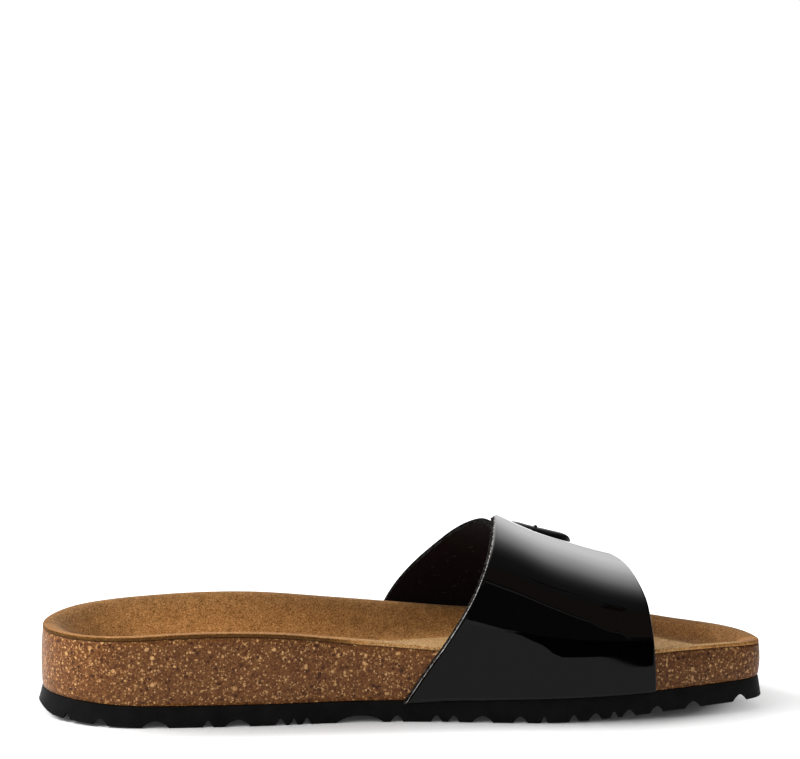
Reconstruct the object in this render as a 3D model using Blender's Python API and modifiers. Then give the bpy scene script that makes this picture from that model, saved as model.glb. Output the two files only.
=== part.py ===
"""A left slide sandal (mule) on a cork footbed, with one wide strap that a buckle closes.

The shoe stands on z = 0 with its toe towards +X, its outer (lateral) side towards +Y and its inner
(medial) side towards -Y. Lengths in this file are millimetres, and mesh points become metres in new_object.
Positions along the foot, called x, run from 0 at the back of the heel to LENGTH at the tip of the toe.
"""

import math

import bmesh
import bpy
import numpy as np
from mathutils import Vector

MM = 0.001

# Driving sizes of the sole
LENGTH = 254.0
OUTSOLE_THICKNESS = 7.3
OUTSOLE_FLARE = 1.3
OUTSOLE_SWELL = 1.25
SWELL_X, SWELL_REACH = 175.0, 29.0
LINER_THICKNESS = 1.3
GAP = 0.3
WALL_BULGE = 0.5
HEEL_CAP_LENGTH = 34.0
HEEL_CAP_POWER = 2.1
TOE_TIP_Y = -21.0
TOE_CAP_LENGTH = {"medial": 49.0, "lateral": 57.0}
TOE_CAP_POWER = {"medial": 2.35, "lateral": 2.05}

# Rocker of the sole: both contact patches lie on z = 0 between the two ends of the flat
FLAT_FROM, FLAT_TO = 45.0, 165.0
HEEL_LIFT = 1.6
TOE_SPRING = 4.5

# Slanted cut at the very back of the tread
HEEL_BEVEL = 2.0
HEEL_BEVEL_FROM = 3.0
HEEL_BEVEL_POWER = 1.5

# Sections of the footbed, heel to toe. A station is a share of LENGTH. Half-widths are measured from the
# foot's axis to the cork's wall; rim and floor are heights of the lined footbed above the outsole; the last
# two columns are how far each side wall reaches in from the rim before it meets the floor.
SECTION_COLUMNS = (
    "station", "medial", "lateral", "rim_medial", "rim_lateral", "floor", "wall_medial", "wall_lateral",
)
SECTIONS = (
    (0.00, 27.8, 29.1, 22.0, 22.0, 12.6, 19.0, 19.0),
    (0.04, 28.6, 30.1, 22.6, 23.9, 12.3, 19.4, 19.0),
    (0.10, 29.8, 31.6, 23.8, 25.4, 11.8, 20.0, 19.0),
    (0.18, 31.0, 32.9, 25.1, 26.8, 11.4, 21.0, 18.0),
    (0.30, 31.4, 32.7, 24.8, 27.2, 11.4, 23.0, 17.0),
    (0.42, 30.0, 34.1, 21.5, 24.4, 10.8, 23.0, 15.0),
    (0.52, 32.0, 38.0, 19.2, 21.1, 9.6, 18.0, 14.0),
    (0.62, 36.6, 43.6, 16.5, 17.0, 8.6, 14.0, 13.0),
    (0.70, 39.3, 44.8, 15.2, 14.8, 8.0, 13.0, 12.0),
    (0.78, 39.0, 42.8, 14.7, 13.9, 7.7, 12.0, 12.0),
    (0.86, 37.2, 37.8, 14.8, 13.8, 7.5, 12.0, 12.0),
    (0.93, 36.5, 32.8, 14.2, 12.5, 7.6, 12.0, 12.0),
    (1.00, 36.6, 27.8, 13.1, 13.1, 8.2, 12.0, 12.0),
)

# Soft forms raised from the footbed's floor: centre along and across the foot, reach each way, and height
FOOTBED_FORMS = {
    "arch_support": (104.0, -24.0, 34.0, 17.0, 4.5),
    "metatarsal_pad": (151.0, 2.0, 17.0, 16.0, 2.0),
    "toe_bar": (205.0, -4.0, 9.0, 30.0, 1.6),
}
LIP = 2.0
OUTLINE_STEPS = 44
LINED_RING_DEPTHS = (0.0, 1.0, LIP, 4.5, 8.0, 12.0, 17.0, 24.0)
SPINE_FROM, SPINE_TO = 33.0, 212.0

# Tread: wavy grooves across the sole, as where each one leaves the inner edge and the length of its mouth
GROOVES = (
    (7.6, 3.4),
    (18.6, 5.6),
    (37.2, 9.8),
    (55.2, 4.2),
    (65.6, 9.2),
    (80.4, 4.0),
    (85.0, 3.0),
    (89.6, 3.4),
    (108.6, 17.0),
    (121.4, 4.8),
    (135.1, 4.4),
    (141.0, 4.4),
    (150.9, 8.0),
    (163.8, 5.6),
    (172.1, 2.4),
    (182.6, 3.6),
    (190.4, 4.8),
    (197.1, 3.0),
    (202.6, 4.8),
    (213.0, 5.0),
    (226.6, 5.6),
    (245.0, 5.0),
)
GROOVE_DEPTH = 2.3
GROOVE_TOP_SHARE = 0.35
GROOVE_WAVE = 2.0
GROOVE_WAVE_LENGTH = 34.0
GROOVE_STEP = 6.8
GROOVE_REACH = 56.0
BELOW_TREAD = 4.0

# Sections of the last under the strap. Fullness is the power of each side's curve: 2 is an ellipse.
LAST_COLUMNS = ("x", "crest_y", "crest_z", "medial_fullness", "lateral_fullness")
LAST_SECTIONS = (
    (110.0, -7.0, 74.5, 2.08, 1.97),
    (140.0, -7.0, 69.4, 2.05, 2.00),
    (162.0, -7.0, 62.5, 2.15, 2.02),
    (198.0, -7.0, 49.7, 2.25, 2.08),
    (222.0, -7.0, 44.2, 2.30, 2.12),
)
CREST_SAG = 0.9
SAG_X, SAG_REACH = 175.0, 11.0
SHOULDER_SHARE = 0.78
STRAP_THICKNESS = 2.2
STRAP_DROP = 0.1
BACK_CORNER_DROP = 0.8
BACK_CORNER_TO, BACK_CORNER_LENGTH = 142.0, 18.0
STRAP_CLEARANCE = WALL_BULGE + GAP

# Cut of the two halves of the strap. Girth is -1 at the inner feather edge, 0 on the crest and 1 at the outer
# feather edge; back and front are the places of the half's two edges along the foot.
PANEL_COLUMNS = ("girth", "back", "front")
MEDIAL_PANEL = (
    (-1.00, 122.9, 211.5),
    (-0.88, 130.1, 211.2),
    (-0.75, 137.7, 210.4),
    (-0.60, 145.1, 209.4),
    (-0.45, 150.4, 208.6),
    (-0.30, 153.9, 206.9),
    (-0.15, 156.1, 205.4),
    (0.00, 158.2, 204.2),
    (0.10, 160.2, 203.2),
)
LATERAL_PANEL = (
    (-0.09, 157.8, 198.5),
    (0.00, 156.8, 199.0),
    (0.20, 155.8, 200.5),
    (0.45, 147.9, 202.0),
    (0.75, 130.0, 203.0),
    (1.00, 119.4, 203.5),
)
PANEL_STEPS_ACROSS = 8
PANEL_STEP_GIRTH = 0.06

# Tongue of the inner half: it runs through the buckle and lies on the outer half
TONGUE_X = 178.5
TONGUE_HALF_WIDTH = 9.5
SHOULDER_GIRTH = (0.05, 0.19)
TONGUE_TIP_GIRTH = (0.60, 0.68)
PANEL_BITE = 0.3
RAMP_GIRTH = (-0.85, -0.12)
RISE_FROM_PIVOT, RISE_GIRTH = -0.11, 0.09
FALL_FROM_PIVOT, FALL_GIRTH = 0.03, 0.13

# Buckle: a rounded frame of round bar, its pivot bar under the tongue, its other bar over it
BAR_RADIUS = 1.2
FRAME_HALF_WIDTH = 12.0
NEAR_BAR_GIRTH, PIVOT_BAR_GIRTH = 0.232, 0.432
FRAME_CORNER = 4.0
FRAME_SKEW = 0.0025
MM_PER_GIRTH = 90.0
PRONG_RADIUS = 0.5
PRONG_HOOK_TURNS = (170, 140, 110, 80)
PRONG_OVERHANG_GIRTH = 0.012
PRONG_TIP_DROP = 0.3
LOOP_THICKNESS = 1.0
LOOP_GAP = 0.5
LOOP_HALF_WIDTH = 8.5
LOOP_SLOT_HALF_WIDTH = 2.4
LOOP_FOOT = 5.0
LOOP_STEPS = 6
SLOT_OVERSHOOT = 2.0
PIVOT_HEIGHT = STRAP_THICKNESS + GAP + BAR_RADIUS
NEAR_BAR_HEIGHT = 2 * STRAP_THICKNESS - PANEL_BITE + GAP + BAR_RADIUS
TONGUE_OVER_PIVOT = PIVOT_HEIGHT + BAR_RADIUS + GAP + LOOP_THICKNESS + LOOP_GAP

# Edges steeper than this many degrees stay sharp
SHARP_ANGLE = 40

# Materials: linear colour, roughness, metallic
FINISHES = {
    "foam_black": ((0.012, 0.012, 0.013), 0.75, 0.0),
    "cork": ((0.22, 0.11, 0.045), 0.8, 0.0),
    "suede_tan": ((0.33, 0.18, 0.075), 0.95, 0.0),
    "patent_black": ((0.006, 0.006, 0.007), 0.06, 0.0),
    "buckle_black": ((0.02, 0.02, 0.021), 0.25, 1.0),
}


def column(rows, columns, name):
    """One named column of a table as an array."""
    return np.array([row[columns.index(name)] for row in rows], float)


def smooth(places, values, x):
    """A curve through a table's points, with a continuous slope."""
    x = np.clip(np.asarray(x, float), places[0], places[-1])
    slopes = np.gradient(values, places)
    i = np.clip(np.searchsorted(places, x, side="right") - 1, 0, len(places) - 2)
    span = places[i + 1] - places[i]
    t = (x - places[i]) / span
    rise = (1 + 2 * t) * (1 - t) ** 2 * values[i] + t**2 * (3 - 2 * t) * values[i + 1]
    return rise + span * (t * (1 - t) ** 2 * slopes[i] - t**2 * (1 - t) * slopes[i + 1])


def section(name, x):
    """A column of SECTIONS at any place along the foot."""
    places = column(SECTIONS, SECTION_COLUMNS, "station") * LENGTH
    return smooth(places, column(SECTIONS, SECTION_COLUMNS, name), x)


def last_section(name, x):
    return smooth(column(LAST_SECTIONS, LAST_COLUMNS, "x"), column(LAST_SECTIONS, LAST_COLUMNS, name), x)


def panel_edge(panel, name, girth):
    return smooth(column(panel, PANEL_COLUMNS, "girth"), column(panel, PANEL_COLUMNS, name), girth)


def ease(t):
    """0 to 1 with flat ends."""
    t = np.clip(t, 0, 1)
    return t * t * (3 - 2 * t)


def cap(share, power):
    """The rounding of an end: 1 where it starts and 0 at the tip."""
    return (1 - np.clip(share, 0, 1) ** power) ** (1 / power)


def wall_y(x, side):
    """Where the cork's wall stands across the foot, on one side."""
    sign = -1 if side == "medial" else 1
    heel = cap((HEEL_CAP_LENGTH - x) / HEEL_CAP_LENGTH, HEEL_CAP_POWER)
    toe_from = LENGTH - TOE_CAP_LENGTH[side]
    toe = cap((x - toe_from) / TOE_CAP_LENGTH[side], TOE_CAP_POWER[side])
    return TOE_TIP_Y + (sign * section(side, x) * heel - TOE_TIP_Y) * toe


def lift(x):
    """Height of the sole above the floor: zero on the flat, rising to heel and toe."""
    heel = HEEL_LIFT * np.maximum((FLAT_FROM - x) / FLAT_FROM, 0) ** 2
    toe = TOE_SPRING * ease((x - FLAT_TO) / (LENGTH - FLAT_TO))
    return heel + toe


def tread_height(x):
    """Height of the tread's edge: the lift, with the slanted cut at the back of the heel."""
    share = np.maximum((HEEL_BEVEL_FROM - x) / (HEEL_BEVEL_FROM + OUTSOLE_FLARE), 0)
    return lift(x) + HEEL_BEVEL * share**HEEL_BEVEL_POWER


def hump(x, middle, reach):
    """1 at a middle, falling smoothly to 0 on both sides."""
    return np.exp(-(((x - middle) / reach) ** 2))


def feather(x):
    """Height of the outsole's upper face, which swells under the strap."""
    return lift(x) + OUTSOLE_THICKNESS + OUTSOLE_SWELL * hump(x, SWELL_X, SWELL_REACH)


def outline():
    """The cork's outline from the heel along the inner side to the toe and back along the outer side.

    Point i on the inner side and point 2 * OUTLINE_STEPS - i on the outer side share their place along the foot.
    """
    turn = np.linspace(0, math.pi, OUTLINE_STEPS + 1)
    x = LENGTH * (1 - np.cos(turn)) / 2
    inner = np.column_stack([x, wall_y(x, "medial")])
    outer = np.column_stack([x, wall_y(x, "lateral")])
    return np.vstack([inner, outer[-2:0:-1]])


def grown(points, distance):
    """An outline moved outwards by a distance."""
    along = np.roll(points, -1, axis=0) - np.roll(points, 1, axis=0)
    along /= np.linalg.norm(along, axis=1)[:, None]
    return points + distance * np.column_stack([along[:, 1], -along[:, 0]])


def per_side(name_start, points):
    """A pair of columns read along an outline: the inner side's values, then the outer side's."""
    inner = section(name_start + "_medial", points[:, 0])
    outer = section(name_start + "_lateral", points[:, 0])
    on_inner_side = np.arange(len(points)) <= OUTLINE_STEPS
    return np.where(on_inner_side, inner, outer)


def floor_height(x, y):
    """The lined footbed's floor above the outsole, with the forms raised from it."""
    height = section("floor", x)
    for centre_x, centre_y, reach_x, reach_y, rise in FOOTBED_FORMS.values():
        height = height + rise * np.exp(-(((x - centre_x) / reach_x) ** 2) - ((y - centre_y) / reach_y) ** 2)
    return height


def footbed_ring(depth):
    """The lined footbed's surface at one distance in from the rim, all the way round."""
    rim = outline()
    spine_x = np.clip(rim[:, 0], SPINE_FROM, SPINE_TO)
    spine_y = (wall_y(spine_x, "medial") + wall_y(spine_x, "lateral")) / 2
    inward = np.column_stack([spine_x, spine_y]) - rim
    place = rim + inward * (depth / np.linalg.norm(inward, axis=1))[:, None]
    x, y = place.T
    slope = np.clip((depth - LIP) / per_side("wall", rim), 0, 1)
    wall = (1 + np.cos(math.pi * slope)) / 2
    floor = floor_height(x, y)
    height = floor + (per_side("rim", rim) - floor) * wall
    return np.column_stack([x, y, feather(x) + height])


def footbed_rings(sunk):
    """Rings of the footbed from the rim inwards, sunk below the lined surface at right angles to it."""
    rings = np.array([footbed_ring(depth) for depth in LINED_RING_DEPTHS])
    around = np.roll(rings, -1, axis=1) - np.roll(rings, 1, axis=1)
    inward = np.gradient(rings, axis=0)
    normal = np.cross(inward, around)
    normal /= np.linalg.norm(normal, axis=2)[:, :, None]
    normal[normal[:, :, 2] < 0] *= -1
    normal[0] = (0, 0, 1)
    return list(rings - sunk * normal)


def last_point(x, girth):
    """The inside of the strap: up the cork's wall to a shoulder, then over the foot to the crest."""
    side = "medial" if girth < 0 else "lateral"
    sign = -1 if girth < 0 else 1
    wall = wall_y(x, side) + sign * STRAP_CLEARANCE
    corner = BACK_CORNER_DROP * ease((BACK_CORNER_TO - x) / BACK_CORNER_LENGTH)
    bottom = feather(x) - STRAP_DROP - corner
    shoulder = feather(x) + section("rim_" + side, x)
    crest_y = last_section("crest_y", x)
    crest_z = last_section("crest_z", x) - CREST_SAG * hump(x, SAG_X, SAG_REACH)
    share = abs(girth) / SHOULDER_SHARE
    if share >= 1:
        fall = (abs(girth) - SHOULDER_SHARE) / (1 - SHOULDER_SHARE)
        return np.array([x, wall, shoulder + (bottom - shoulder) * fall])
    turn = share * math.pi / 2
    power = 2 / last_section(side + "_fullness", x)
    y = crest_y + (wall - crest_y) * math.sin(turn) ** power
    z = shoulder + (crest_z - shoulder) * math.cos(turn) ** power
    return np.array([x, float(y), float(z)])


def last_normal(x, girth):
    """Outward direction of the last's surface."""
    step_x, step_girth = 0.5, 0.004
    along = last_point(x + step_x, girth) - last_point(x - step_x, girth)
    across = last_point(x, girth + step_girth) - last_point(x, girth - step_girth)
    normal = np.cross(along, across)
    return normal / np.linalg.norm(normal)


def above_last(x, girth, height):
    """A point at a height over the inside of the strap."""
    return last_point(x, girth) + height * last_normal(x, girth)


def tongue_height(girth):
    """Height of the inner half's lower face over the last, from the cork over the outer half to the tongue's tip."""
    on_panel = STRAP_THICKNESS - PANEL_BITE
    lying = STRAP_THICKNESS + GAP
    ramp = on_panel * ease((girth - RAMP_GIRTH[0]) / (RAMP_GIRTH[1] - RAMP_GIRTH[0]))
    rise = ease((girth - PIVOT_BAR_GIRTH - RISE_FROM_PIVOT) / RISE_GIRTH)
    fall = ease((girth - PIVOT_BAR_GIRTH - FALL_FROM_PIVOT) / FALL_GIRTH)
    bump = (TONGUE_OVER_PIVOT - on_panel) * rise
    settle = (TONGUE_OVER_PIVOT - lying) * fall
    return float(ramp + bump - settle)


def medial_edges(girth):
    """Back and front edge of the inner half: the wide strap, its shoulders, then the tongue with a round tip."""
    wide = min(girth, MEDIAL_PANEL[-1][0])
    back, front = panel_edge(MEDIAL_PANEL, "back", wide), panel_edge(MEDIAL_PANEL, "front", wide)
    narrow = ease((girth - SHOULDER_GIRTH[0]) / (SHOULDER_GIRTH[1] - SHOULDER_GIRTH[0]))
    tip_from, tip_to = TONGUE_TIP_GIRTH
    half = TONGUE_HALF_WIDTH * cap((girth - tip_from) / (tip_to - tip_from), 2)
    back += (TONGUE_X - half - back) * narrow
    front += (TONGUE_X + half - front) * narrow
    return float(back), float(front)


def lateral_edges(girth):
    return float(panel_edge(LATERAL_PANEL, "back", girth)), float(panel_edge(LATERAL_PANEL, "front", girth))


def finish(name):
    """A plain material of one of the finishes."""
    colour, roughness, metallic = FINISHES[name]
    material = bpy.data.materials.get(name) or bpy.data.materials.new(name)
    material.use_nodes = True
    shader = material.node_tree.nodes["Principled BSDF"]
    shader.inputs["Base Color"].default_value = (*colour, 1)
    shader.inputs["Roughness"].default_value = roughness
    shader.inputs["Metallic"].default_value = metallic
    material.diffuse_color = (*colour, 1)
    return material


def new_collection(name, hidden=False):
    made = bpy.data.collections.new(name)
    made.hide_render = hidden
    bpy.context.scene.collection.children.link(made)
    return made


def new_object(name, bm, collection, finish_name, parent, cutter=False):
    """An object from a bmesh in millimetres."""
    bmesh.ops.recalc_face_normals(bm, faces=bm.faces)
    mesh = bpy.data.meshes.new(name)
    bm.to_mesh(mesh)
    bm.free()
    mesh.transform(((MM, 0, 0, 0), (0, MM, 0, 0), (0, 0, MM, 0), (0, 0, 0, 1)))
    mesh.shade_smooth()
    mesh.set_sharp_from_angle(angle=math.radians(SHARP_ANGLE))
    mesh.materials.append(finish(finish_name))
    made = bpy.data.objects.new(name, mesh)
    made.parent = parent
    collection.objects.link(made)
    if cutter:
        made.hide_render = True
        made.display_type = "WIRE"
    return made


def add_face(bm, corners):
    """A face, split along its higher diagonal, so that layers of one form bend alike and never cross."""
    corners = list(dict.fromkeys(corners))
    if len(corners) == 3:
        bm.faces.new(corners)
        return
    a, b, c, d = corners
    if a.co.z + c.co.z > b.co.z + d.co.z:
        halves = ((a, b, c), (a, c, d))
    else:
        halves = ((a, b, d), (b, c, d))
    for half in halves:
        bm.faces.new(half)


def loft(rings):
    """A closed body through rings of an outline, each end closed by strips from side to side."""
    bm = bmesh.new()
    loops = [[bm.verts.new(point) for point in ring] for ring in rings]
    count = len(loops[0])
    for low, high in zip(loops, loops[1:]):
        for i in range(count):
            add_face(bm, (low[i - 1], low[i], high[i], high[i - 1]))
    for loop in (loops[0], loops[-1]):
        for i in range(count // 2):
            add_face(bm, (loop[i], loop[i + 1], loop[count - i - 1], loop[-i]))
    return bm


def sheet(edges, height, girths):
    """An open sheet over the last between a back and a front edge."""
    bm = bmesh.new()
    rows = []
    for girth in girths:
        back, front = edges(girth)
        places = np.linspace(back, front, PANEL_STEPS_ACROSS + 1)
        rows.append([bm.verts.new(above_last(x, girth, height(girth))) for x in places])
    for low, high in zip(rows, rows[1:]):
        for i in range(PANEL_STEPS_ACROSS):
            bm.faces.new((low[i], low[i + 1], high[i + 1], high[i]))
    return bm


def girth_steps(start, end, *extra):
    """Girths from start to end, evenly spaced, with some that a change of shape needs."""
    steps = np.linspace(start, end, math.ceil((end - start) / PANEL_STEP_GIRTH) + 1)
    return sorted({round(float(g), 4) for g in (*steps, *extra)})


def thicken(panel):
    """A strap's thickness, outwards from its inner face."""
    solidify = panel.modifiers.new("Thickness", "SOLIDIFY")
    solidify.thickness = STRAP_THICKNESS * MM
    solidify.offset = 1
    solidify.use_even_offset = True


def boolean(target, other, operation):
    modifier = target.modifiers.new(operation.title() + " " + other.name, "BOOLEAN")
    modifier.operation = operation
    modifier.object = other


def tube(name, points, radius, collection, parent, closed=False, sides=2):
    """A round bar along points, as a mesh object."""
    data = bpy.data.curves.new(name, "CURVE")
    data.dimensions = "3D"
    data.bevel_depth = radius * MM
    data.bevel_resolution = sides
    data.use_fill_caps = True
    spline = data.splines.new("POLY")
    spline.points.add(len(points) - 1)
    for target, point in zip(spline.points, points):
        target.co = (*(np.asarray(point) * MM), 1)
    spline.use_cyclic_u = closed
    made = bpy.data.objects.new(name, data)
    made.parent = parent
    collection.objects.link(made)
    data.materials.append(finish("buckle_black"))
    return made


def tube_mesh(bar):
    """The bar as a closed mesh object, which a Boolean can use."""
    graph = bpy.context.evaluated_depsgraph_get()
    mesh = bpy.data.meshes.new_from_object(bar.evaluated_get(graph))
    bm = bmesh.new()
    bm.from_mesh(mesh)
    bmesh.ops.remove_doubles(bm, verts=bm.verts, dist=1e-6)
    bmesh.ops.recalc_face_normals(bm, faces=bm.faces)
    bm.to_mesh(mesh)
    bm.free()
    mesh.shade_smooth()
    made = bpy.data.objects.new(bar.name, mesh)
    made.parent = bar.parent
    made.matrix_world = bar.matrix_world
    bar.users_collection[0].objects.link(made)
    name = bar.name
    bpy.data.objects.remove(bar)
    made.name = name
    return made


def groove_cutter(x, mouth, index, collection, parent):
    """A wavy trench across the tread, narrower at its floor."""
    edge, level = float(wall_y(x, "medial")), float(lift(x))
    half, floor_half = mouth / 2, mouth / 2 * GROOVE_TOP_SHARE
    profile = (
        (-half, level - BELOW_TREAD),
        (half, level - BELOW_TREAD),
        (half, level),
        (floor_half, level + GROOVE_DEPTH),
        (-floor_half, level + GROOVE_DEPTH),
        (-half, level),
    )
    bm = bmesh.new()
    stations = []
    for y in np.arange(-GROOVE_REACH, GROOVE_REACH + GROOVE_STEP, GROOVE_STEP):
        middle = x + GROOVE_WAVE * math.sin(2 * math.pi * (y - edge) / GROOVE_WAVE_LENGTH)
        stations.append([bm.verts.new((middle + dx, y, z)) for dx, z in profile])
    for before, after in zip(stations, stations[1:]):
        for i in range(len(profile)):
            bm.faces.new((before[i - 1], before[i], after[i], after[i - 1]))
    bm.faces.new(stations[0])
    bm.faces.new(reversed(stations[-1]))
    return new_object(f"groove_{index:02d}", bm, collection, "foam_black", parent, cutter=True)


def build_outsole(parts, cutters, parent):
    rim = outline()
    bottom = grown(rim, OUTSOLE_FLARE)
    rings = [
        np.column_stack([bottom, tread_height(bottom[:, 0])]),
        np.column_stack([rim, feather(rim[:, 0])]),
    ]
    outsole = new_object("outsole", loft(rings), parts, "foam_black", parent)
    for index, (x, mouth) in enumerate(GROOVES):
        boolean(outsole, groove_cutter(x, mouth, index, cutters, parent), "DIFFERENCE")


def build_cork(parts, parent):
    rim = outline()
    middle = grown(rim, WALL_BULGE)
    top = footbed_rings(LINER_THICKNESS + GAP)
    low = feather(rim[:, 0]) + GAP
    halfway = (low + top[0][:, 2]) / 2
    rings = [np.column_stack([rim, low]), np.column_stack([middle, halfway]), *top]
    new_object("cork_footbed", loft(rings), parts, "cork", parent)


def build_insole(parts, parent):
    under, upper = footbed_rings(LINER_THICKNESS), footbed_rings(0)
    new_object("insole", loft([*under[::-1], *upper]), parts, "suede_tan", parent)


def build_upper(parts, cutters, parent, prong_room):
    """The outer half of the strap, with the inner half joined to it where they cross."""
    outer_steps = girth_steps(LATERAL_PANEL[0][0], LATERAL_PANEL[-1][0], SHOULDER_SHARE)
    outer = sheet(lateral_edges, lambda girth: 0.0, outer_steps)
    upper = new_object("upper", outer, parts, "patent_black", parent)
    thicken(upper)
    tip_from, tip_to = TONGUE_TIP_GIRTH
    tip = [tip_from + (tip_to - tip_from) * share for share in (0.5, 0.8, 0.95)]
    shoulder = np.linspace(*SHOULDER_GIRTH, 5)
    inner_steps = girth_steps(-1.0, tip_to - 0.001, -SHOULDER_SHARE, *shoulder, *tip)
    inner = sheet(medial_edges, tongue_height, inner_steps)
    inner_half = new_object("upper_inner_half", inner, cutters, "patent_black", parent, cutter=True)
    thicken(inner_half)
    boolean(upper, inner_half, "UNION")
    boolean(upper, prong_room, "DIFFERENCE")


def frame_corners():
    """The frame's rounded corners, as places along the foot and girths, round from the pivot bar."""
    corner_girth = FRAME_CORNER / MM_PER_GIRTH
    middle = (NEAR_BAR_GIRTH + PIVOT_BAR_GIRTH) / 2
    half_girth = (PIVOT_BAR_GIRTH - NEAR_BAR_GIRTH) / 2 - corner_girth
    half_width = FRAME_HALF_WIDTH - FRAME_CORNER
    corners = []
    for quarter, (sign_x, sign_girth) in enumerate(((1, 1), (-1, 1), (-1, -1), (1, -1))):
        for turn in np.radians((0, 30, 60, 90)) + quarter * math.pi / 2:
            x = sign_x * half_width + FRAME_CORNER * math.cos(turn)
            girth = sign_girth * half_girth + corner_girth * math.sin(turn)
            corners.append((TONGUE_X + x, middle + girth))
    return corners


def frame_path():
    """The frame's centre line, which lies over the tongue at one bar and under it at the pivot bar."""
    corners = frame_corners()
    path = []
    for (x, girth), (next_x, next_girth) in zip(corners, corners[1:] + corners[:1]):
        length = math.hypot(next_x - x, (next_girth - girth) * MM_PER_GIRTH)
        pieces = 4 if length > FRAME_CORNER else 1
        for share in np.arange(pieces) / pieces:
            place = x + (next_x - x) * share
            at = girth + (next_girth - girth) * share
            down = ease((at - NEAR_BAR_GIRTH) / (PIVOT_BAR_GIRTH - NEAR_BAR_GIRTH))
            height = NEAR_BAR_HEIGHT + (PIVOT_HEIGHT - NEAR_BAR_HEIGHT) * float(down)
            skew = FRAME_SKEW * (TONGUE_X - place) * (1 - float(down))
            path.append(above_last(place, at + skew, height))
    return path


def prong_path():
    """The prong's centre line: a hook over the pivot bar, then straight to rest on the other bar."""
    hook = BAR_RADIUS + GAP + PRONG_RADIUS
    pivot = above_last(TONGUE_X, PIVOT_BAR_GIRTH, PIVOT_HEIGHT)
    up = last_normal(TONGUE_X, PIVOT_BAR_GIRTH)
    rest = above_last(TONGUE_X, NEAR_BAR_GIRTH, NEAR_BAR_HEIGHT + hook)
    tip_girth = NEAR_BAR_GIRTH - PRONG_OVERHANG_GIRTH
    tip = above_last(TONGUE_X, tip_girth, NEAR_BAR_HEIGHT + hook - PRONG_TIP_DROP)
    along = rest - pivot
    along -= up * (along @ up)
    along /= np.linalg.norm(along)
    turns = np.radians(PRONG_HOOK_TURNS)
    return [pivot + hook * (math.cos(a) * along + math.sin(a) * up) for a in turns] + [rest, tip]


def build_buckle(parts, cutters, parent):
    tube_mesh(tube("buckle_frame", frame_path(), BAR_RADIUS, parts, parent, closed=True))
    path = prong_path()
    tube_mesh(tube("buckle_prong", path, PRONG_RADIUS, parts, parent))
    room = tube_mesh(tube("prong_room", path, PRONG_RADIUS + GAP, cutters, parent))
    room.hide_render = True
    room.display_type = "WIRE"
    return room


def strip(profile, x_from, x_to, steps):
    """A body along the foot over the pivot bar, from a profile of distances from the bar and heights over the last."""
    bar = last_point(TONGUE_X, PIVOT_BAR_GIRTH)
    per_girth = np.linalg.norm(last_point(TONGUE_X, PIVOT_BAR_GIRTH + 0.01) - bar) / 0.01
    bm = bmesh.new()
    stations = []
    for x in np.linspace(x_from, x_to, steps + 1):
        points = [above_last(x, PIVOT_BAR_GIRTH + d / per_girth, h) for d, h in profile]
        stations.append([bm.verts.new(point) for point in points])
    for before, after in zip(stations, stations[1:]):
        for i in range(len(profile)):
            bm.faces.new((before[i - 1], before[i], after[i], after[i - 1]))
    bm.faces.new(stations[0])
    bm.faces.new(reversed(stations[-1]))
    return bm


def build_loop(parts, cutters, parent):
    """The loop that holds the pivot bar: a strip over the bar, both ends on the outer half, slotted for the prong."""
    base = STRAP_THICKNESS + LOOP_GAP
    inner_reach = BAR_RADIUS + GAP
    outer_reach = inner_reach + LOOP_THICKNESS
    turns = np.radians((30, 60, 90, 120, 150))
    inner = [(inner_reach * math.cos(a), PIVOT_HEIGHT + inner_reach * math.sin(a)) for a in turns]
    outer = [(outer_reach * math.cos(a), PIVOT_HEIGHT + outer_reach * math.sin(a)) for a in turns]
    foot_end = outer_reach + LOOP_FOOT
    profile = [
        (inner_reach, base),
        (foot_end, base),
        (foot_end, base + LOOP_THICKNESS),
        (outer_reach, base + LOOP_THICKNESS),
        *outer,
        (-outer_reach, base),
        (-inner_reach, base),
        *inner[::-1],
    ]
    low, high = base - SLOT_OVERSHOOT, PIVOT_HEIGHT + outer_reach + SLOT_OVERSHOOT
    slot_from, slot_to = -outer_reach - SLOT_OVERSHOOT, outer_reach + GAP
    slot = [(slot_from, low), (slot_to, low), (slot_to, high), (slot_from, high)]
    body = strip(profile, TONGUE_X - LOOP_HALF_WIDTH, TONGUE_X + LOOP_HALF_WIDTH, LOOP_STEPS)
    loop = new_object("buckle_loop", body, parts, "patent_black", parent)
    room = strip(slot, TONGUE_X - LOOP_SLOT_HALF_WIDTH, TONGUE_X + LOOP_SLOT_HALF_WIDTH, 1)
    boolean(loop, new_object("loop_slot", room, cutters, "patent_black", parent, cutter=True), "DIFFERENCE")


def stand_on_origin(root, parts):
    """Moves the shoe so that the middle of its box is over the origin."""
    bpy.context.view_layer.update()
    graph = bpy.context.evaluated_depsgraph_get()
    corners = []
    for part in parts.objects:
        evaluated = part.evaluated_get(graph)
        corners += [evaluated.matrix_world @ Vector(corner) for corner in evaluated.bound_box]
    low = [min(corner[axis] for corner in corners) for axis in range(3)]
    high = [max(corner[axis] for corner in corners) for axis in range(3)]
    root.location = (-(low[0] + high[0]) / 2, -(low[1] + high[1]) / 2, -low[2])


def main():
    for old in list(bpy.data.objects):
        bpy.data.objects.remove(old)
    parts = new_collection("slide_sandal")
    cutters = new_collection("cutters", hidden=True)
    root = bpy.data.objects.new("shoe_axis", None)
    parts.objects.link(root)
    build_outsole(parts, cutters, root)
    build_cork(parts, root)
    build_insole(parts, root)
    prong_room = build_buckle(parts, cutters, root)
    build_loop(parts, cutters, root)
    build_upper(parts, cutters, root, prong_room)
    stand_on_origin(root, parts)


main()
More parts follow.
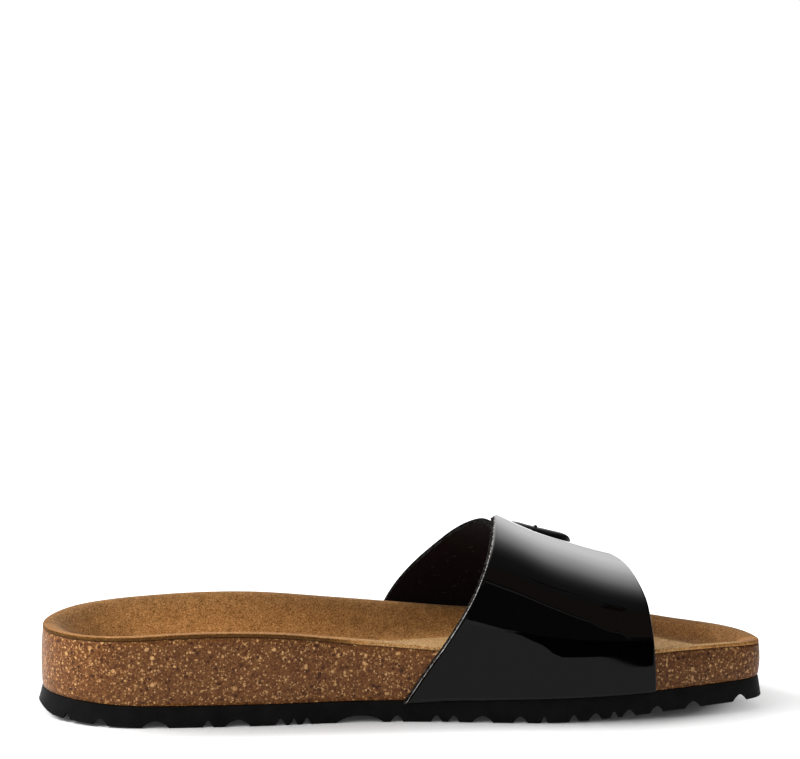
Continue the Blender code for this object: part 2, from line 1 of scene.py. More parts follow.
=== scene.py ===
"""The looks of a left slide sandal (mule) on a cork footbed: fine surfaces, materials, studio and camera.

Lengths are millimetres until mesh_object turns them into metres. Positions along the foot, called x, run from
0 at the back of the heel to LENGTH at the tip of the toe. y < 0 is the inner (medial) side.
"""

import math

import bmesh
import bpy
import mathutils
import numpy as np
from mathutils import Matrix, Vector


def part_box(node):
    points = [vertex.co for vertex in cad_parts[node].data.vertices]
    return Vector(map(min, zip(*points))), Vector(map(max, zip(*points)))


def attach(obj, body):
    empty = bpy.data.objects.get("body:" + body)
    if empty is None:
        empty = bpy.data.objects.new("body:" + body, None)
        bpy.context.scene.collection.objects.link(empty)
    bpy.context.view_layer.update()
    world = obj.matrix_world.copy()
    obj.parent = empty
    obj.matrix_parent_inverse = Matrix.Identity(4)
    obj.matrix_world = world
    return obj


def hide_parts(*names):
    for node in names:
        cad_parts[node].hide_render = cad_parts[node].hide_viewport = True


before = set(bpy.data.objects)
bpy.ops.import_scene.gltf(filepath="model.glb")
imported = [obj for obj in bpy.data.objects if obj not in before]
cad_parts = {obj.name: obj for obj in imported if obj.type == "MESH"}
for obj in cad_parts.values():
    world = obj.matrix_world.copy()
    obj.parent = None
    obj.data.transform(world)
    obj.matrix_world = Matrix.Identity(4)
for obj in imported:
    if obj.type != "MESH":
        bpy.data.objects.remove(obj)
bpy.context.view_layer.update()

MM = 0.001
# Points closer than this are joined, and a direction shorter than this is none
JOIN_DISTANCE = 0.001
NO_LENGTH = 1e-6

# Sole and footbed, the same sizes as the solids
LENGTH = 254.0
OUTSOLE_THICKNESS = 7.3
OUTSOLE_FLARE = 1.3
OUTSOLE_SWELL = 1.25
SWELL_X, SWELL_REACH = 175.0, 29.0
# Side of the outsole from the top down: how far it stands out from the cork, and its share of the thickness
OUTSOLE_SIDE = (
    (-0.4, 1.0), (0.0, 0.985), (0.12, 0.93), (0.75, 0.45), (1.15, 0.14), (OUTSOLE_FLARE, 0.06),
    (1.15, 0.015), (0.8, 0.0),
)
OUTSOLE_SHARP_ANGLE = 38
LINER_THICKNESS = 1.3
GAP = 0.3
WALL_BULGE = 0.5
HEEL_CAP_LENGTH = 34.0
HEEL_CAP_POWER = 2.1
TOE_TIP_Y = -21.0
TOE_CAP_LENGTH = {"medial": 49.0, "lateral": 57.0}
TOE_CAP_POWER = {"medial": 2.35, "lateral": 2.05}
FLAT_FROM, FLAT_TO = 45.0, 165.0
HEEL_LIFT = 1.6
TOE_SPRING = 4.5
HEEL_BEVEL = 2.0
HEEL_BEVEL_FROM = 3.0
HEEL_BEVEL_POWER = 1.5
LIP = 2.0
SPINE_FROM, SPINE_TO = 33.0, 212.0
OUTLINE_STEPS = 170
CORK_DEPTHS = (0.0, 1.0, LIP, 4.5, 8.0, 12.0)
CORK_INNER_STEPS = 8
CORK_WALL_STEPS = 14
CORK_FOOT_TUCK = 0.2
LINER_DEPTHS = (0.0, 0.12, 0.35, 0.7, 1.1, 1.5, LIP, 2.6, 3.4, 4.5, 6.0, 7.5, 9.0, 10.5, 12.0)
LINER_INNER_STEPS = 18
LINER_EDGE_RADIUS = 0.6

SECTION_COLUMNS = (
    "station", "medial", "lateral", "rim_medial", "rim_lateral", "floor", "wall_medial", "wall_lateral",
)
SECTIONS = (
    (0.00, 27.8, 29.1, 22.0, 22.0, 12.6, 19.0, 19.0),
    (0.04, 28.6, 30.1, 22.6, 23.9, 12.3, 19.4, 19.0),
    (0.10, 29.8, 31.6, 23.8, 25.4, 11.8, 20.0, 19.0),
    (0.18, 31.0, 32.9, 25.1, 26.8, 11.4, 21.0, 18.0),
    (0.30, 31.4, 32.7, 24.8, 27.2, 11.4, 23.0, 17.0),
    (0.42, 30.0, 34.1, 21.5, 24.4, 10.8, 23.0, 15.0),
    (0.52, 32.0, 38.0, 19.2, 21.1, 9.6, 18.0, 14.0),
    (0.62, 36.6, 43.6, 16.5, 17.0, 8.6, 14.0, 13.0),
    (0.70, 39.3, 44.8, 15.2, 14.8, 8.0, 13.0, 12.0),
    (0.78, 39.0, 42.8, 14.7, 13.9, 7.7, 12.0, 12.0),
    (0.86, 37.2, 37.8, 14.8, 13.8, 7.5, 12.0, 12.0),
    (0.93, 36.5, 32.8, 14.2, 12.5, 7.6, 12.0, 12.0),
    (1.00, 36.6, 27.8, 13.1, 13.1, 8.2, 12.0, 12.0),
)
# Soft forms raised from the footbed's floor: centre along and across the foot, reach each way, and height
FOOTBED_FORMS = {
    "arch_support": (104.0, -24.0, 34.0, 17.0, 4.5),
    "metatarsal_pad": (151.0, 2.0, 17.0, 16.0, 2.0),
    "toe_bar": (205.0, -4.0, 9.0, 30.0, 1.6),
}

# Tread: where each wavy groove leaves the inner edge, and the length of its mouth
GROOVES = (
    (7.6, 3.4), (18.6, 5.6), (37.2, 9.8), (55.2, 4.2), (65.6, 9.2), (80.4, 4.0), (85.0, 3.0),
    (89.6, 3.4), (108.6, 17.0), (121.4, 4.8), (135.1, 4.4), (141.0, 4.4), (150.9, 8.0),
    (163.8, 5.6), (172.1, 2.4), (182.6, 3.6), (190.4, 4.8), (197.1, 3.0), (202.6, 4.8),
    (213.0, 5.0), (226.6, 5.6), (245.0, 5.0),
)
GROOVE_DEPTH = 2.4
GROOVE_ROUNDNESS, GROOVE_FLATTENING = 1.1, 0.09
GROOVE_PROFILE_STEPS = 8
GROOVE_WAVE = 2.0
GROOVE_WAVE_LENGTH = 34.0
GROOVE_STEP = 2.0
GROOVE_REACH = 56.0
BELOW_TREAD = 4.0

# Last under the strap, and the cut of the strap's two halves
LAST_COLUMNS = ("x", "crest_y", "crest_z", "medial_fullness", "lateral_fullness")
LAST_SECTIONS = (
    (110.0, -7.0, 74.5, 2.08, 1.97),
    (140.0, -7.0, 69.4, 2.05, 2.00),
    (162.0, -7.0, 62.5, 2.15, 2.02),
    (198.0, -7.0, 49.7, 2.25, 2.08),
    (222.0, -7.0, 44.2, 2.30, 2.12),
)
CREST_SAG = 0.9
SAG_X, SAG_REACH = 175.0, 11.0
SHOULDER_SHARE = 0.78
STRAP_THICKNESS = 2.2
STRAP_DROP = 0.1
BACK_CORNER_DROP = 0.8
BACK_CORNER_TO, BACK_CORNER_LENGTH = 142.0, 18.0
STRAP_CLEARANCE = WALL_BULGE + GAP
PANEL_COLUMNS = ("girth", "back", "front")
MEDIAL_PANEL = (
    (-1.00, 122.9, 211.5),
    (-0.88, 130.1, 211.2),
    (-0.75, 137.7, 210.4),
    (-0.60, 145.1, 209.4),
    (-0.45, 150.4, 208.6),
    (-0.30, 153.9, 206.9),
    (-0.15, 156.1, 205.4),
    (0.00, 158.2, 204.2),
    (0.10, 160.2, 203.2),
)
LATERAL_PANEL = (
    (-0.09, 157.8, 198.5),
    (0.00, 156.8, 199.0),
    (0.20, 155.8, 200.5),
    (0.45, 147.9, 202.0),
    (0.75, 130.0, 203.0),
    (1.00, 119.4, 203.5),
)
TONGUE_X = 178.5
TONGUE_HALF_WIDTH = 9.5
SHOULDER_GIRTH = (0.05, 0.19)
TONGUE_TIP_GIRTH = (0.60, 0.68)
TIP_CUT = 0.0005
PANEL_BITE = 0.05
RAMP_GIRTH = (-0.85, -0.12)
RISE_FROM_PIVOT, RISE_GIRTH = -0.11, 0.09
FALL_FROM_PIVOT, FALL_GIRTH = 0.03, 0.13

# Fine edges of the strap
EDGE_RADIUS = 0.7
EDGE_INSETS = (0.0, 0.06, 0.18, 0.38, 0.7, 1.2)
HEM_RADIUS = 1.6
HEM_INSETS = (0.0, 0.1, 0.35, 0.7, 1.15, 1.6)
# Length of the strap from its shoulder to its hem, roughly
BELOW_SHOULDER = 20.0
# The most that an edge's insets take of a panel's width, where it narrows to the tongue's tip
INSET_LIMIT = 0.45
ACROSS_STEPS = 64
GIRTH_STEPS_PER_UNIT = 110
GIRTH_DIGITS = 5
SLANT = 0.9
SLANT_REACH = 6.0
SLANT_AHEAD_GIRTH = -0.6
PALE_EDGE_SHARE = 0.24
CURL = 0.7
CURL_GIRTH, CURL_SPREAD = -0.02, 0.14
CURL_REACH = 9.0
STRAP_SHARP_ANGLE = 50
# Order of the materials of a strap's half
OUTSIDE, CUT_EDGE, INSIDE, FIBRE_EDGE = range(4)

# Buckle
BAR_RADIUS = 1.2
FRAME_HALF_WIDTH = 12.0
NEAR_BAR_GIRTH, PIVOT_BAR_GIRTH = 0.232, 0.432
NEAR_CORNER, PIVOT_CORNER = 6.0, 4.0
FRAME_AHEAD = 0.9
FRAME_SKEW = 0.0025
MM_PER_GIRTH = 90.0
PRONG_RADIUS = 0.6
PRONG_SEAT = 0.1
PRONG_OVERHANG_GIRTH = 0.012
PRONG_TIP_DROP = 0.3
# Turn of the prong's hook round the pivot bar, in degrees
PRONG_HOOK_TURN = (170, 80)
PRONG_STRAIGHT_STEPS = 8
# Its tip, as shares of its overhang and of its radius
PRONG_TIP = ((0.35, 1.0), (0.7, 0.95), (0.9, 0.75), (1.0, 0.4))
LOOP_THICKNESS = 1.0
LOOP_GAP = 0.5
PIVOT_HEIGHT = STRAP_THICKNESS + GAP + BAR_RADIUS
NEAR_BAR_RADIUS = 1.55
NEAR_BAR_HEIGHT = 2 * STRAP_THICKNESS + NEAR_BAR_RADIUS
TONGUE_OVER_PIVOT = PIVOT_HEIGHT + BAR_RADIUS + GAP + LOOP_THICKNESS + LOOP_GAP
TUBE_SIDES = 20
CORNER_STEPS = 12
BUCKLE_SHARP_ANGLE = 60

# Painted light and shade on the suede, as shares of its colour. The palest and the darkest also take a tint.
PAINTED_WALL_SHADE, PAINTED_LOW_LIGHT, PAINTED_FOREFOOT_LIGHT = 0.84, 1.34, 1.08
TOE_PAINTED_WALL_SHADE, PAINTED_TOE_TIP_SHADE = 0.60, 0.85
PAINTED_LIGHT_TONE, PAINTED_TOE_LIGHT_TONE = 1.65, 2.2
PAINTED_NEAR_RIM_LIGHT = 1.2
PAINTED_CUT_EDGE_SHADE, PAINTED_CUT_EDGE_LIGHT, PAINTED_TOE_EDGE_LIGHT = 0.3, 1.5, 1.15
PAINTED_LIGHT_TINT, PAINTED_SHADE_TINT = (0.94, 1.18, 1.55), (1.05, 0.96, 0.80)
PAINTED_LIGHT_TINT_TONES, PAINTED_SHADE_TINT_TONES = (1.3, 1.65), (0.80, 0.60)
# Where the tones change, each from and to: along the foot, then in from the rim
FOREFOOT_SPAN = (92.0, 122.0)
PALE_SPAN = (82.0, 130.0)
PALE_EDGE_SPAN = (96.0, 112.0)
TOE_SPAN = (195.0, 207.0)
TOE_EDGE_SPAN = (222.0, 238.0)
TOE_TIP_SPAN = (236.0, 250.0)
LOW_DEPTH = (4.0, 12.0)
PALE_DEPTH = (14.5, 16.5)
CUT_EDGE_DEPTH = 0.2
# The line before the strap where the painted light ends: one of its points, and the direction across it
PAINTED_LIGHT_LINE_POINT = (227.0, 9.0)
PAINTED_LIGHT_LINE_ACROSS = (0.83, 0.55)
PAINTED_LIGHT_LINE_WIDTH = 2.5

# Painted shade on the cork beside the toe
CORK_PAINTED_SHADE = 0.22
CORK_PAINTED_SHADE_X, CORK_PAINTED_SHADE_REACH = 226.0, 16.0
# Flecks of the cork: size of their cells, share of the cells that show, and how strongly
CORK_FLECKS = ((1.9, 0.07, 0.95), (1.1, 0.17, 0.95), (0.66, 0.30, 0.85))
# Share of those that show in full, and where a fleck fades and is whole, as shares of a cell from its middle
FLECK_FULL_SHARE = 0.7
FLECK_EDGE = (0.52, 0.30)

# Camera at the photograph's angle, in metres and degrees
CAMERA_PLACE = (-0.1717, -0.9663, 0.2344)
CAMERA_TURN = (83.112, -0.861, -9.940)
CAMERA_LENS = 124.94


def column(rows, columns, name):
    """One named column of a table as an array."""
    return np.array([row[columns.index(name)] for row in rows], float)


def smooth(places, values, x):
    """A curve through a table's points, with a continuous slope."""
    x = np.clip(np.asarray(x, float), places[0], places[-1])
    slopes = np.gradient(values, places)
    i = np.clip(np.searchsorted(places, x, side="right") - 1, 0, len(places) - 2)
    span = places[i + 1] - places[i]
    t = (x - places[i]) / span
    rise = (1 + 2 * t) * (1 - t) ** 2 * values[i] + t**2 * (3 - 2 * t) * values[i + 1]
    return rise + span * (t * (1 - t) ** 2 * slopes[i] - t**2 * (1 - t) * slopes[i + 1])


def section(name, x):
    """A column of SECTIONS at any place along the foot."""
    places = column(SECTIONS, SECTION_COLUMNS, "station") * LENGTH
    return smooth(places, column(SECTIONS, SECTION_COLUMNS, name), x)


def last_section(name, x):
    return smooth(column(LAST_SECTIONS, LAST_COLUMNS, "x"), column(LAST_SECTIONS, LAST_COLUMNS, name), x)


def panel_edges(panel, girth):
    """Back and front edge of a half of the strap, from its table."""
    places = column(panel, PANEL_COLUMNS, "girth")
    return [smooth(places, column(panel, PANEL_COLUMNS, name), girth) for name in ("back", "front")]


def ease(t):
    """0 to 1 with flat ends."""
    t = np.clip(t, 0, 1)
    return t * t * (3 - 2 * t)


def passed(value, span):
    """0 before a span, 1 past it, smooth between."""
    return ease((value - span[0]) / (span[1] - span[0]))


def toward(value, target, share):
    return value + (target - value) * share


def unit(directions):
    """Directions made one long."""
    return directions / np.linalg.norm(directions, axis=-1, keepdims=True)


def cap(share, power):
    """The rounding of an end: 1 where it starts and 0 at the tip."""
    return (1 - np.clip(share, 0, 1) ** power) ** (1 / power)


def rounding(distance, radius):
    """How far a rounded edge lies below the face, at a distance in from the edge."""
    left = radius - np.clip(distance, 0, radius)
    return radius - np.sqrt(radius**2 - left**2)


def wall_y(x, side):
    """Where the cork's wall stands across the foot, on one side."""
    sign = -1 if side == "medial" else 1
    heel = cap((HEEL_CAP_LENGTH - x) / HEEL_CAP_LENGTH, HEEL_CAP_POWER)
    toe_from = LENGTH - TOE_CAP_LENGTH[side]
    toe = cap((x - toe_from) / TOE_CAP_LENGTH[side], TOE_CAP_POWER[side])
    return TOE_TIP_Y + (sign * section(side, x) * heel - TOE_TIP_Y) * toe


def lift(x):
    """Height of the sole above the floor: zero on the flat, rising to heel and toe."""
    heel = HEEL_LIFT * np.maximum((FLAT_FROM - x) / FLAT_FROM, 0) ** 2
    toe = TOE_SPRING * ease((x - FLAT_TO) / (LENGTH - FLAT_TO))
    return heel + toe


def tread_height(x):
    """Height of the tread's edge: the lift, with the slanted cut at the back of the heel."""
    share = np.maximum((HEEL_BEVEL_FROM - x) / (HEEL_BEVEL_FROM + OUTSOLE_FLARE), 0)
    return lift(x) + HEEL_BEVEL * share**HEEL_BEVEL_POWER


def hump(x, middle, reach):
    """1 at a middle, falling smoothly to 0 on both sides."""
    return np.exp(-(((x - middle) / reach) ** 2))


def feather(x):
    """Height of the outsole's upper face, which swells under the strap."""
    return lift(x) + OUTSOLE_THICKNESS + OUTSOLE_SWELL * hump(x, SWELL_X, SWELL_REACH)


def outline():
    """The cork's outline from the heel along the inner side to the toe and back along the outer side."""
    turn = np.linspace(0, math.pi, OUTLINE_STEPS + 1)
    x = LENGTH * (1 - np.cos(turn)) / 2
    inner = np.column_stack([x, wall_y(x, "medial")])
    outer = np.column_stack([x, wall_y(x, "lateral")])
    return np.vstack([inner, outer[-2:0:-1]])


def grown(points, distance):
    """An outline moved outwards by a distance."""
    along = unit(np.roll(points, -1, axis=0) - np.roll(points, 1, axis=0))
    return points + distance * np.column_stack([along[:, 1], -along[:, 0]])


def by_side(inner, outer):
    """Values along an outline: the inner side's, then the outer side's."""
    return np.where(np.arange(len(inner)) <= OUTLINE_STEPS, inner, outer)


def per_side(name_start, points):
    """A pair of columns read along an outline."""
    x = points[:, 0]
    return by_side(section(name_start + "_medial", x), section(name_start + "_lateral", x))


def floor_height(x, y):
    """The lined footbed's floor above the outsole, with the forms raised from it."""
    height = section("floor", x)
    for centre_x, centre_y, reach_x, reach_y, rise in FOOTBED_FORMS.values():
        height = height + rise * hump(x, centre_x, reach_x) * hump(y, centre_y, reach_y)
    return height


def to_spine(rim):
    """For each point of the outline, the way to the spine along the middle of the foot, and its length."""
    spine_x = np.clip(rim[:, 0], SPINE_FROM, SPINE_TO)
    spine_y = (wall_y(spine_x, "medial") + wall_y(spine_x, "lateral")) / 2
    inward = np.column_stack([spine_x, spine_y]) - rim
    reach = np.linalg.norm(inward, axis=1)
    return inward / reach[:, None], reach


def footbed_ring(rim, depth):
    """The lined footbed's surface at a distance in from the rim, all the way round."""
    inward, reach = to_spine(rim)
    x, y = (rim + inward * depth[:, None]).T
    slope = np.clip((depth - LIP) / per_side("wall", rim), 0, 1)
    wall = (1 + np.cos(math.pi * slope)) / 2
    floor = floor_height(x, y)
    height = floor + (per_side("rim", rim) - floor) * wall
    return np.column_stack([x, y, feather(x) + height])


def footbed_rings(sunk, rim_depths, inner_steps):
    """Rings of the footbed from the rim to the spine, sunk below the lined surface at right angles to it."""
    rim = outline()
    reach = to_spine(rim)[1]
    depths = [np.full(len(rim), depth) for depth in rim_depths]
    last = rim_depths[-1]
    depths += [last + (reach - last) * share for share in np.linspace(0, 1, inner_steps + 1)[1:]]
    rings = np.array([footbed_ring(rim, depth) for depth in depths])
    around = np.roll(rings, -1, axis=1) - np.roll(rings, 1, axis=1)
    normal = np.cross(np.gradient(rings, axis=0), around)
    length = np.linalg.norm(normal, axis=2)[:, :, None]
    normal = np.where(length > NO_LENGTH, normal / np.maximum(length, NO_LENGTH), (0, 0, 1))
    normal[normal[:, :, 2] < 0] *= -1
    normal[0] = normal[-1] = (0, 0, 1)
    return list(rings - sunk * normal)


def last_point(x, girth):
    """The inside of the strap: up the cork's wall to a shoulder, then over the foot to the crest."""
    x, girth = np.broadcast_arrays(np.asarray(x, float), np.asarray(girth, float))
    medial = girth < 0
    wall = np.where(medial, wall_y(x, "medial") - STRAP_CLEARANCE, wall_y(x, "lateral") + STRAP_CLEARANCE)
    corner = BACK_CORNER_DROP * ease((BACK_CORNER_TO - x) / BACK_CORNER_LENGTH)
    bottom = feather(x) - STRAP_DROP - corner
    shoulder = feather(x) + np.where(medial, section("rim_medial", x), section("rim_lateral", x))
    crest_y = last_section("crest_y", x)
    crest_z = last_section("crest_z", x) - CREST_SAG * hump(x, SAG_X, SAG_REACH)
    turn = np.clip(np.abs(girth) / SHOULDER_SHARE, 0, 1) * math.pi / 2
    power = 2 / np.where(medial, last_section("medial_fullness", x), last_section("lateral_fullness", x))
    y = crest_y + (wall - crest_y) * np.sin(turn) ** power
    z = shoulder + (crest_z - shoulder) * np.clip(np.cos(turn), 0, 1) ** power
    fall = (np.abs(girth) - SHOULDER_SHARE) / (1 - SHOULDER_SHARE)
    z = np.where(fall > 0, shoulder + (bottom - shoulder) * fall, z)
    return np.stack([x, y, z], axis=-1)


def last_normal(x, girth):
    """Outward direction of the last's surface."""
    step_x, step_girth = 0.5, 0.004
    along = last_point(x + step_x, girth) - last_point(x - step_x, girth)
    across = last_point(x, girth + step_girth) - last_point(x, girth - step_girth)
    return unit(np.cross(along, across))


def above_last(x, girth, height):
    """A point at a height over the inside of the strap."""
    return last_point(x, girth) + np.asarray(height)[..., None] * last_normal(x, girth)


def tongue_height(girth):
    """Height of the inner half's lower face over the last: over the outer half, then over the pivot bar."""
    on_panel = STRAP_THICKNESS - PANEL_BITE
    lying = STRAP_THICKNESS + GAP
    climb = on_panel * passed(girth, RAMP_GIRTH)
    rise = ease((girth - PIVOT_BAR_GIRTH - RISE_FROM_PIVOT) / RISE_GIRTH)
    fall = ease((girth - PIVOT_BAR_GIRTH - FALL_FROM_PIVOT) / FALL_GIRTH)
    return climb + (TONGUE_OVER_PIVOT - on_panel) * rise - (TONGUE_OVER_PIVOT - lying) * fall


def medial_edges(girth):
    """Back and front edge of the inner half: the wide strap, its shoulders, then the round-tipped tongue."""
    back, front = panel_edges(MEDIAL_PANEL, girth)
    narrow = passed(girth, SHOULDER_GIRTH)
    tip_from, tip_to = TONGUE_TIP_GIRTH
    half = TONGUE_HALF_WIDTH * cap((girth - tip_from) / (tip_to - tip_from), 2)
    return toward(back, TONGUE_X - half, narrow), toward(front, TONGUE_X + half, narrow)


def lateral_edges(girth):
    return panel_edges(LATERAL_PANEL, girth)


def frame_shift():
    """Where the shoe's own origin, at the back of the heel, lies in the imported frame, in metres."""
    low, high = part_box("insole")
    wall = outline()[:, 1]
    across = (low.y + high.y) / 2 - MM * (wall.min() + wall.max()) / 2
    return np.array([low.x, across, 0.0])


SHIFT = frame_shift()


def placed(name, data):
    """A new object in the scene."""
    made = bpy.data.objects.new(name, data)
    bpy.context.scene.collection.objects.link(made)
    return made


def mesh_object(name, points, faces, materials, face_materials=None, sharp_angle=None, tones=None):
    """A smooth-shaded object from points in millimetres, which may have a tone each."""
    mesh = bpy.data.meshes.new(name)
    mesh.from_pydata(np.asarray(points, float).reshape(-1, 3) * MM + SHIFT, [], faces)
    for material in materials:
        mesh.materials.append(material)
    if face_materials is not None:
        mesh.polygons.foreach_set("material_index", face_materials)
    # Tones are painted light and shade, which the materials multiply into their colour
    if tones is not None:
        mesh.attributes.new("tone", "FLOAT", "POINT").data.foreach_set("value", tones)
    bm = bmesh.new()
    bm.from_mesh(mesh)
    bmesh.ops.remove_doubles(bm, verts=bm.verts, dist=MM * JOIN_DISTANCE)
    bmesh.ops.dissolve_degenerate(bm, edges=bm.edges, dist=MM * JOIN_DISTANCE)
    bmesh.ops.recalc_face_normals(bm, faces=bm.faces)
    bm.to_mesh(mesh)
    bm.free()
    mesh.shade_smooth()
    if sharp_angle:
        mesh.set_sharp_from_angle(angle=math.radians(sharp_angle))
    return placed(name, mesh)


def faces_between(low, high, count):
    """Faces between two rings of points, by the first point of each."""
    return [(low + i, low + (i + 1) % count, high + (i + 1) % count, high + i) for i in range(count)]


def ring_faces(ring_count, count, cap_first, cap_last):
    """Faces between rings of an outline. A cap is strips from side to side."""
    faces = []
    for ring in range(ring_count - 1):
        faces += faces_between(ring * count, (ring + 1) * count, count)
    for wanted, start in ((cap_first, 0), (cap_last, (ring_count - 1) * count)):
        if wanted:
            for i in range(count // 2):
                corners = (i, i + 1, count - i - 1, (count - i) % count)
                faces.append(tuple(dict.fromkeys(start + c for c in corners)))
    return faces


def loft(name, rings, material, cap_first, cap_last, tones=None):
    faces = ring_faces(len(rings), len(rings[0]), cap_first, cap_last)
    return mesh_object(name, np.vstack(rings), faces, [material], tones=tones)


def piece_of(piece, node):
    """Makes a piece move with the shoe's one body, and hides the node that it stands for."""
    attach(piece, "root")
    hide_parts(node)


# Materials

# Places of a Mix node's colour sockets, which share their names with its other sockets
MIX_A, MIX_B, MIX_RESULT = 6, 7, 2


def put(beside, kind, inputs=None, **settings):
    """A node in the tree of another node or socket, with its settings, its input values and its links."""
    tree = beside.id_data
    made = tree.nodes.new(kind)
    for name, value in settings.items():
        setattr(made, name, value)
    for name, value in (inputs or {}).items():
        if isinstance(value, bpy.types.NodeSocket):
            tree.links.new(value, made.inputs[name])
        else:
            made.inputs[name].default_value = value
    return made


def new_material(name, **values):
    """A Principled material, its shader node and its coordinates.

    Values are its constant inputs, with spaces written as underscores.
    """
    material = bpy.data.materials.new(name)
    material.use_nodes = True
    shader = material.node_tree.nodes["Principled BSDF"]
    for key, value in values.items():
        shader.inputs[key.replace("_", " ")].default_value = value
    return material, shader, put(shader, "ShaderNodeTexCoord").outputs["Object"]


def noise(where, size_mm, detail=2.0, roughness=0.5):
    """Noise from 0 to 1 with features of about a size."""
    inputs = {"Vector": where, "Scale": 1 / (size_mm * MM), "Detail": detail, "Roughness": roughness}
    return put(where, "ShaderNodeTexNoise", inputs).outputs["Fac"]


def cells(where, size_mm):
    return put(where, "ShaderNodeTexVoronoi", {"Vector": where, "Scale": 1 / (size_mm * MM)})


def cell_value(voronoi):
    """One even random number for each cell."""
    return put(voronoi, "ShaderNodeSeparateColor", {"Color": voronoi.outputs["Color"]}).outputs["Red"]


def vectors(operation, inputs):
    return put(inputs[0], "ShaderNodeVectorMath", inputs, operation=operation).outputs["Vector"]


def warped(where, size_mm, reach_mm):
    """Coordinates pushed about by noise, so that cells have ragged outlines."""
    inputs = {"Vector": where, "Scale": 1 / (size_mm * MM), "Detail": 2.0}
    push = put(where, "ShaderNodeTexNoise", inputs).outputs["Color"]
    centred = vectors("SUBTRACT", {0: push, 1: (0.5, 0.5, 0.5)})
    return vectors("ADD", {0: where, 1: vectors("SCALE", {0: centred, "Scale": 2 * reach_mm * MM})})


def between(value, low, high):
    """0 below low, 1 above high, smooth between."""
    inputs = {"Value": value, "From Min": low, "From Max": high}
    return put(value, "ShaderNodeMapRange", inputs, interpolation_type="SMOOTHSTEP").outputs["Result"]


def calculate(operation, a, b):
    return put(a, "ShaderNodeMath", {0: a, 1: b}, operation=operation).outputs["Value"]


def ramp(value, stops):
    """Colours along a value, as (position, colour) stops. One number is a grey."""
    made = put(value, "ShaderNodeValToRGB", {"Fac": value})
    elements = made.color_ramp.elements
    while len(elements) < len(stops):
        elements.new(0.5)
    for element, (position, colour) in zip(elements, stops):
        element.position = position
        element.color = (*np.broadcast_to(colour, 3), 1)
    return made.outputs["Color"]


def blend(factor, a, b):
    """Two colours mixed, each a socket or three numbers."""
    inputs = {"Factor": factor}
    for place, value in ((MIX_A, a), (MIX_B, b)):
        inputs[place] = value if isinstance(value, bpy.types.NodeSocket) else (*value, 1)
    return put(factor, "ShaderNodeMix", inputs, data_type="RGBA").outputs[MIX_RESULT]


def times(a, b):
    """Two colours multiplied."""
    inputs = {"Factor": 1.0, MIX_A: a, MIX_B: b}
    return put(a, "ShaderNodeMix", inputs, data_type="RGBA", blend_type="MULTIPLY").outputs[MIX_RESULT]


def bump(height, depth_mm, strength, below=None):
    inputs = {"Height": height, "Distance": depth_mm * MM, "Strength": strength}
    if below:
        inputs["Normal"] = below
    return put(height, "ShaderNodeBump", inputs).outputs["Normal"]


def connect(shader, **sockets):
    for name, socket in sockets.items():
        shader.id_data.links.new(socket, shader.inputs[name.replace("_", " ")])


def toned(colour):
    """A colour scaled by the painted light and shade that the mesh keeps as tones, and those tones."""
    tone = put(colour, "ShaderNodeAttribute", attribute_name="tone").outputs["Fac"]
    return vectors("SCALE", {0: colour, "Scale": tone}), tone


def foam_material():
    """Black foam of the outsole: matte, finely pitted, slightly uneven in tone."""
    material, shader, where = new_material("foam_black", Roughness=0.6, Specular_IOR_Level=0.10)
    tone = noise(where, 6.0, detail=4.0)
    colour = ramp(tone, ((0.3, (0.0022, 0.0020, 0.0020)), (0.7, (0.0048, 0.0045, 0.0045))))
    pits = noise(where, 0.35, detail=3.0)
    swell = noise(where, 2.5)
    normal = bump(pits, 0.05, 0.6, bump(swell, 0.12, 0.5))
    connect(shader, Base_Color=colour, Normal=normal)
    return material


def cork_material():
    """Pressed cork: reddish-brown grains with many small tan flecks, under a thin clear seal."""
    material, shader, where = new_material(
        "cork", Specular_IOR_Level=0.12, Coat_Weight=0.1, Coat_Roughness=0.3,
        Sheen_Weight=0.2, Sheen_Roughness=0.3, Sheen_Tint=(1.0, 0.78, 0.66, 1),
    )
    ragged = warped(where, 0.6, 0.2)
    grain = cells(ragged, 0.6)
    colour = ramp(cell_value(grain), (
        (0.0, (0.075, 0.0245, 0.0056)),
        (0.45, (0.118, 0.041, 0.0095)),
        (1.0, (0.185, 0.072, 0.0190)),
    ))
    grit = ramp(noise(where, 0.35), ((0.3, (0.66, 0.62, 0.58)), (0.7, (1.32, 1.36, 1.40))))
    colour = times(colour, grit)
    pale = ramp(noise(where, 0.9), ((0.35, (0.32, 0.155, 0.048)), (0.65, (0.62, 0.350, 0.140))))
    flaky = warped(where, 0.9, 0.45)
    for size, share, strength in CORK_FLECKS:
        spots = cells(flaky, size)
        picked = between(cell_value(spots), 1 - share, 1 - FLECK_FULL_SHARE * share)
        middle = between(spots.outputs["Distance"], *FLECK_EDGE)
        shown = calculate("MULTIPLY", calculate("MULTIPLY", picked, middle), strength)
        colour = blend(shown, colour, pale)
    pit = between(cell_value(cells(ragged, 0.95)), 0.03, 0.05)
    # Dark pits, then the painted shade beside the toe from the mesh's tones
    colour = toned(blend(pit, (0.050, 0.016, 0.004), colour))[0]
    relief = noise(where, 0.7, detail=3.0)
    normal = bump(relief, 0.10, 0.5, bump(pit, 0.08, 0.5))
    rough = ramp(relief, ((0.2, 0.42), (0.8, 0.66)))
    connect(shader, Base_Color=colour, Normal=normal, Roughness=rough)
    return material


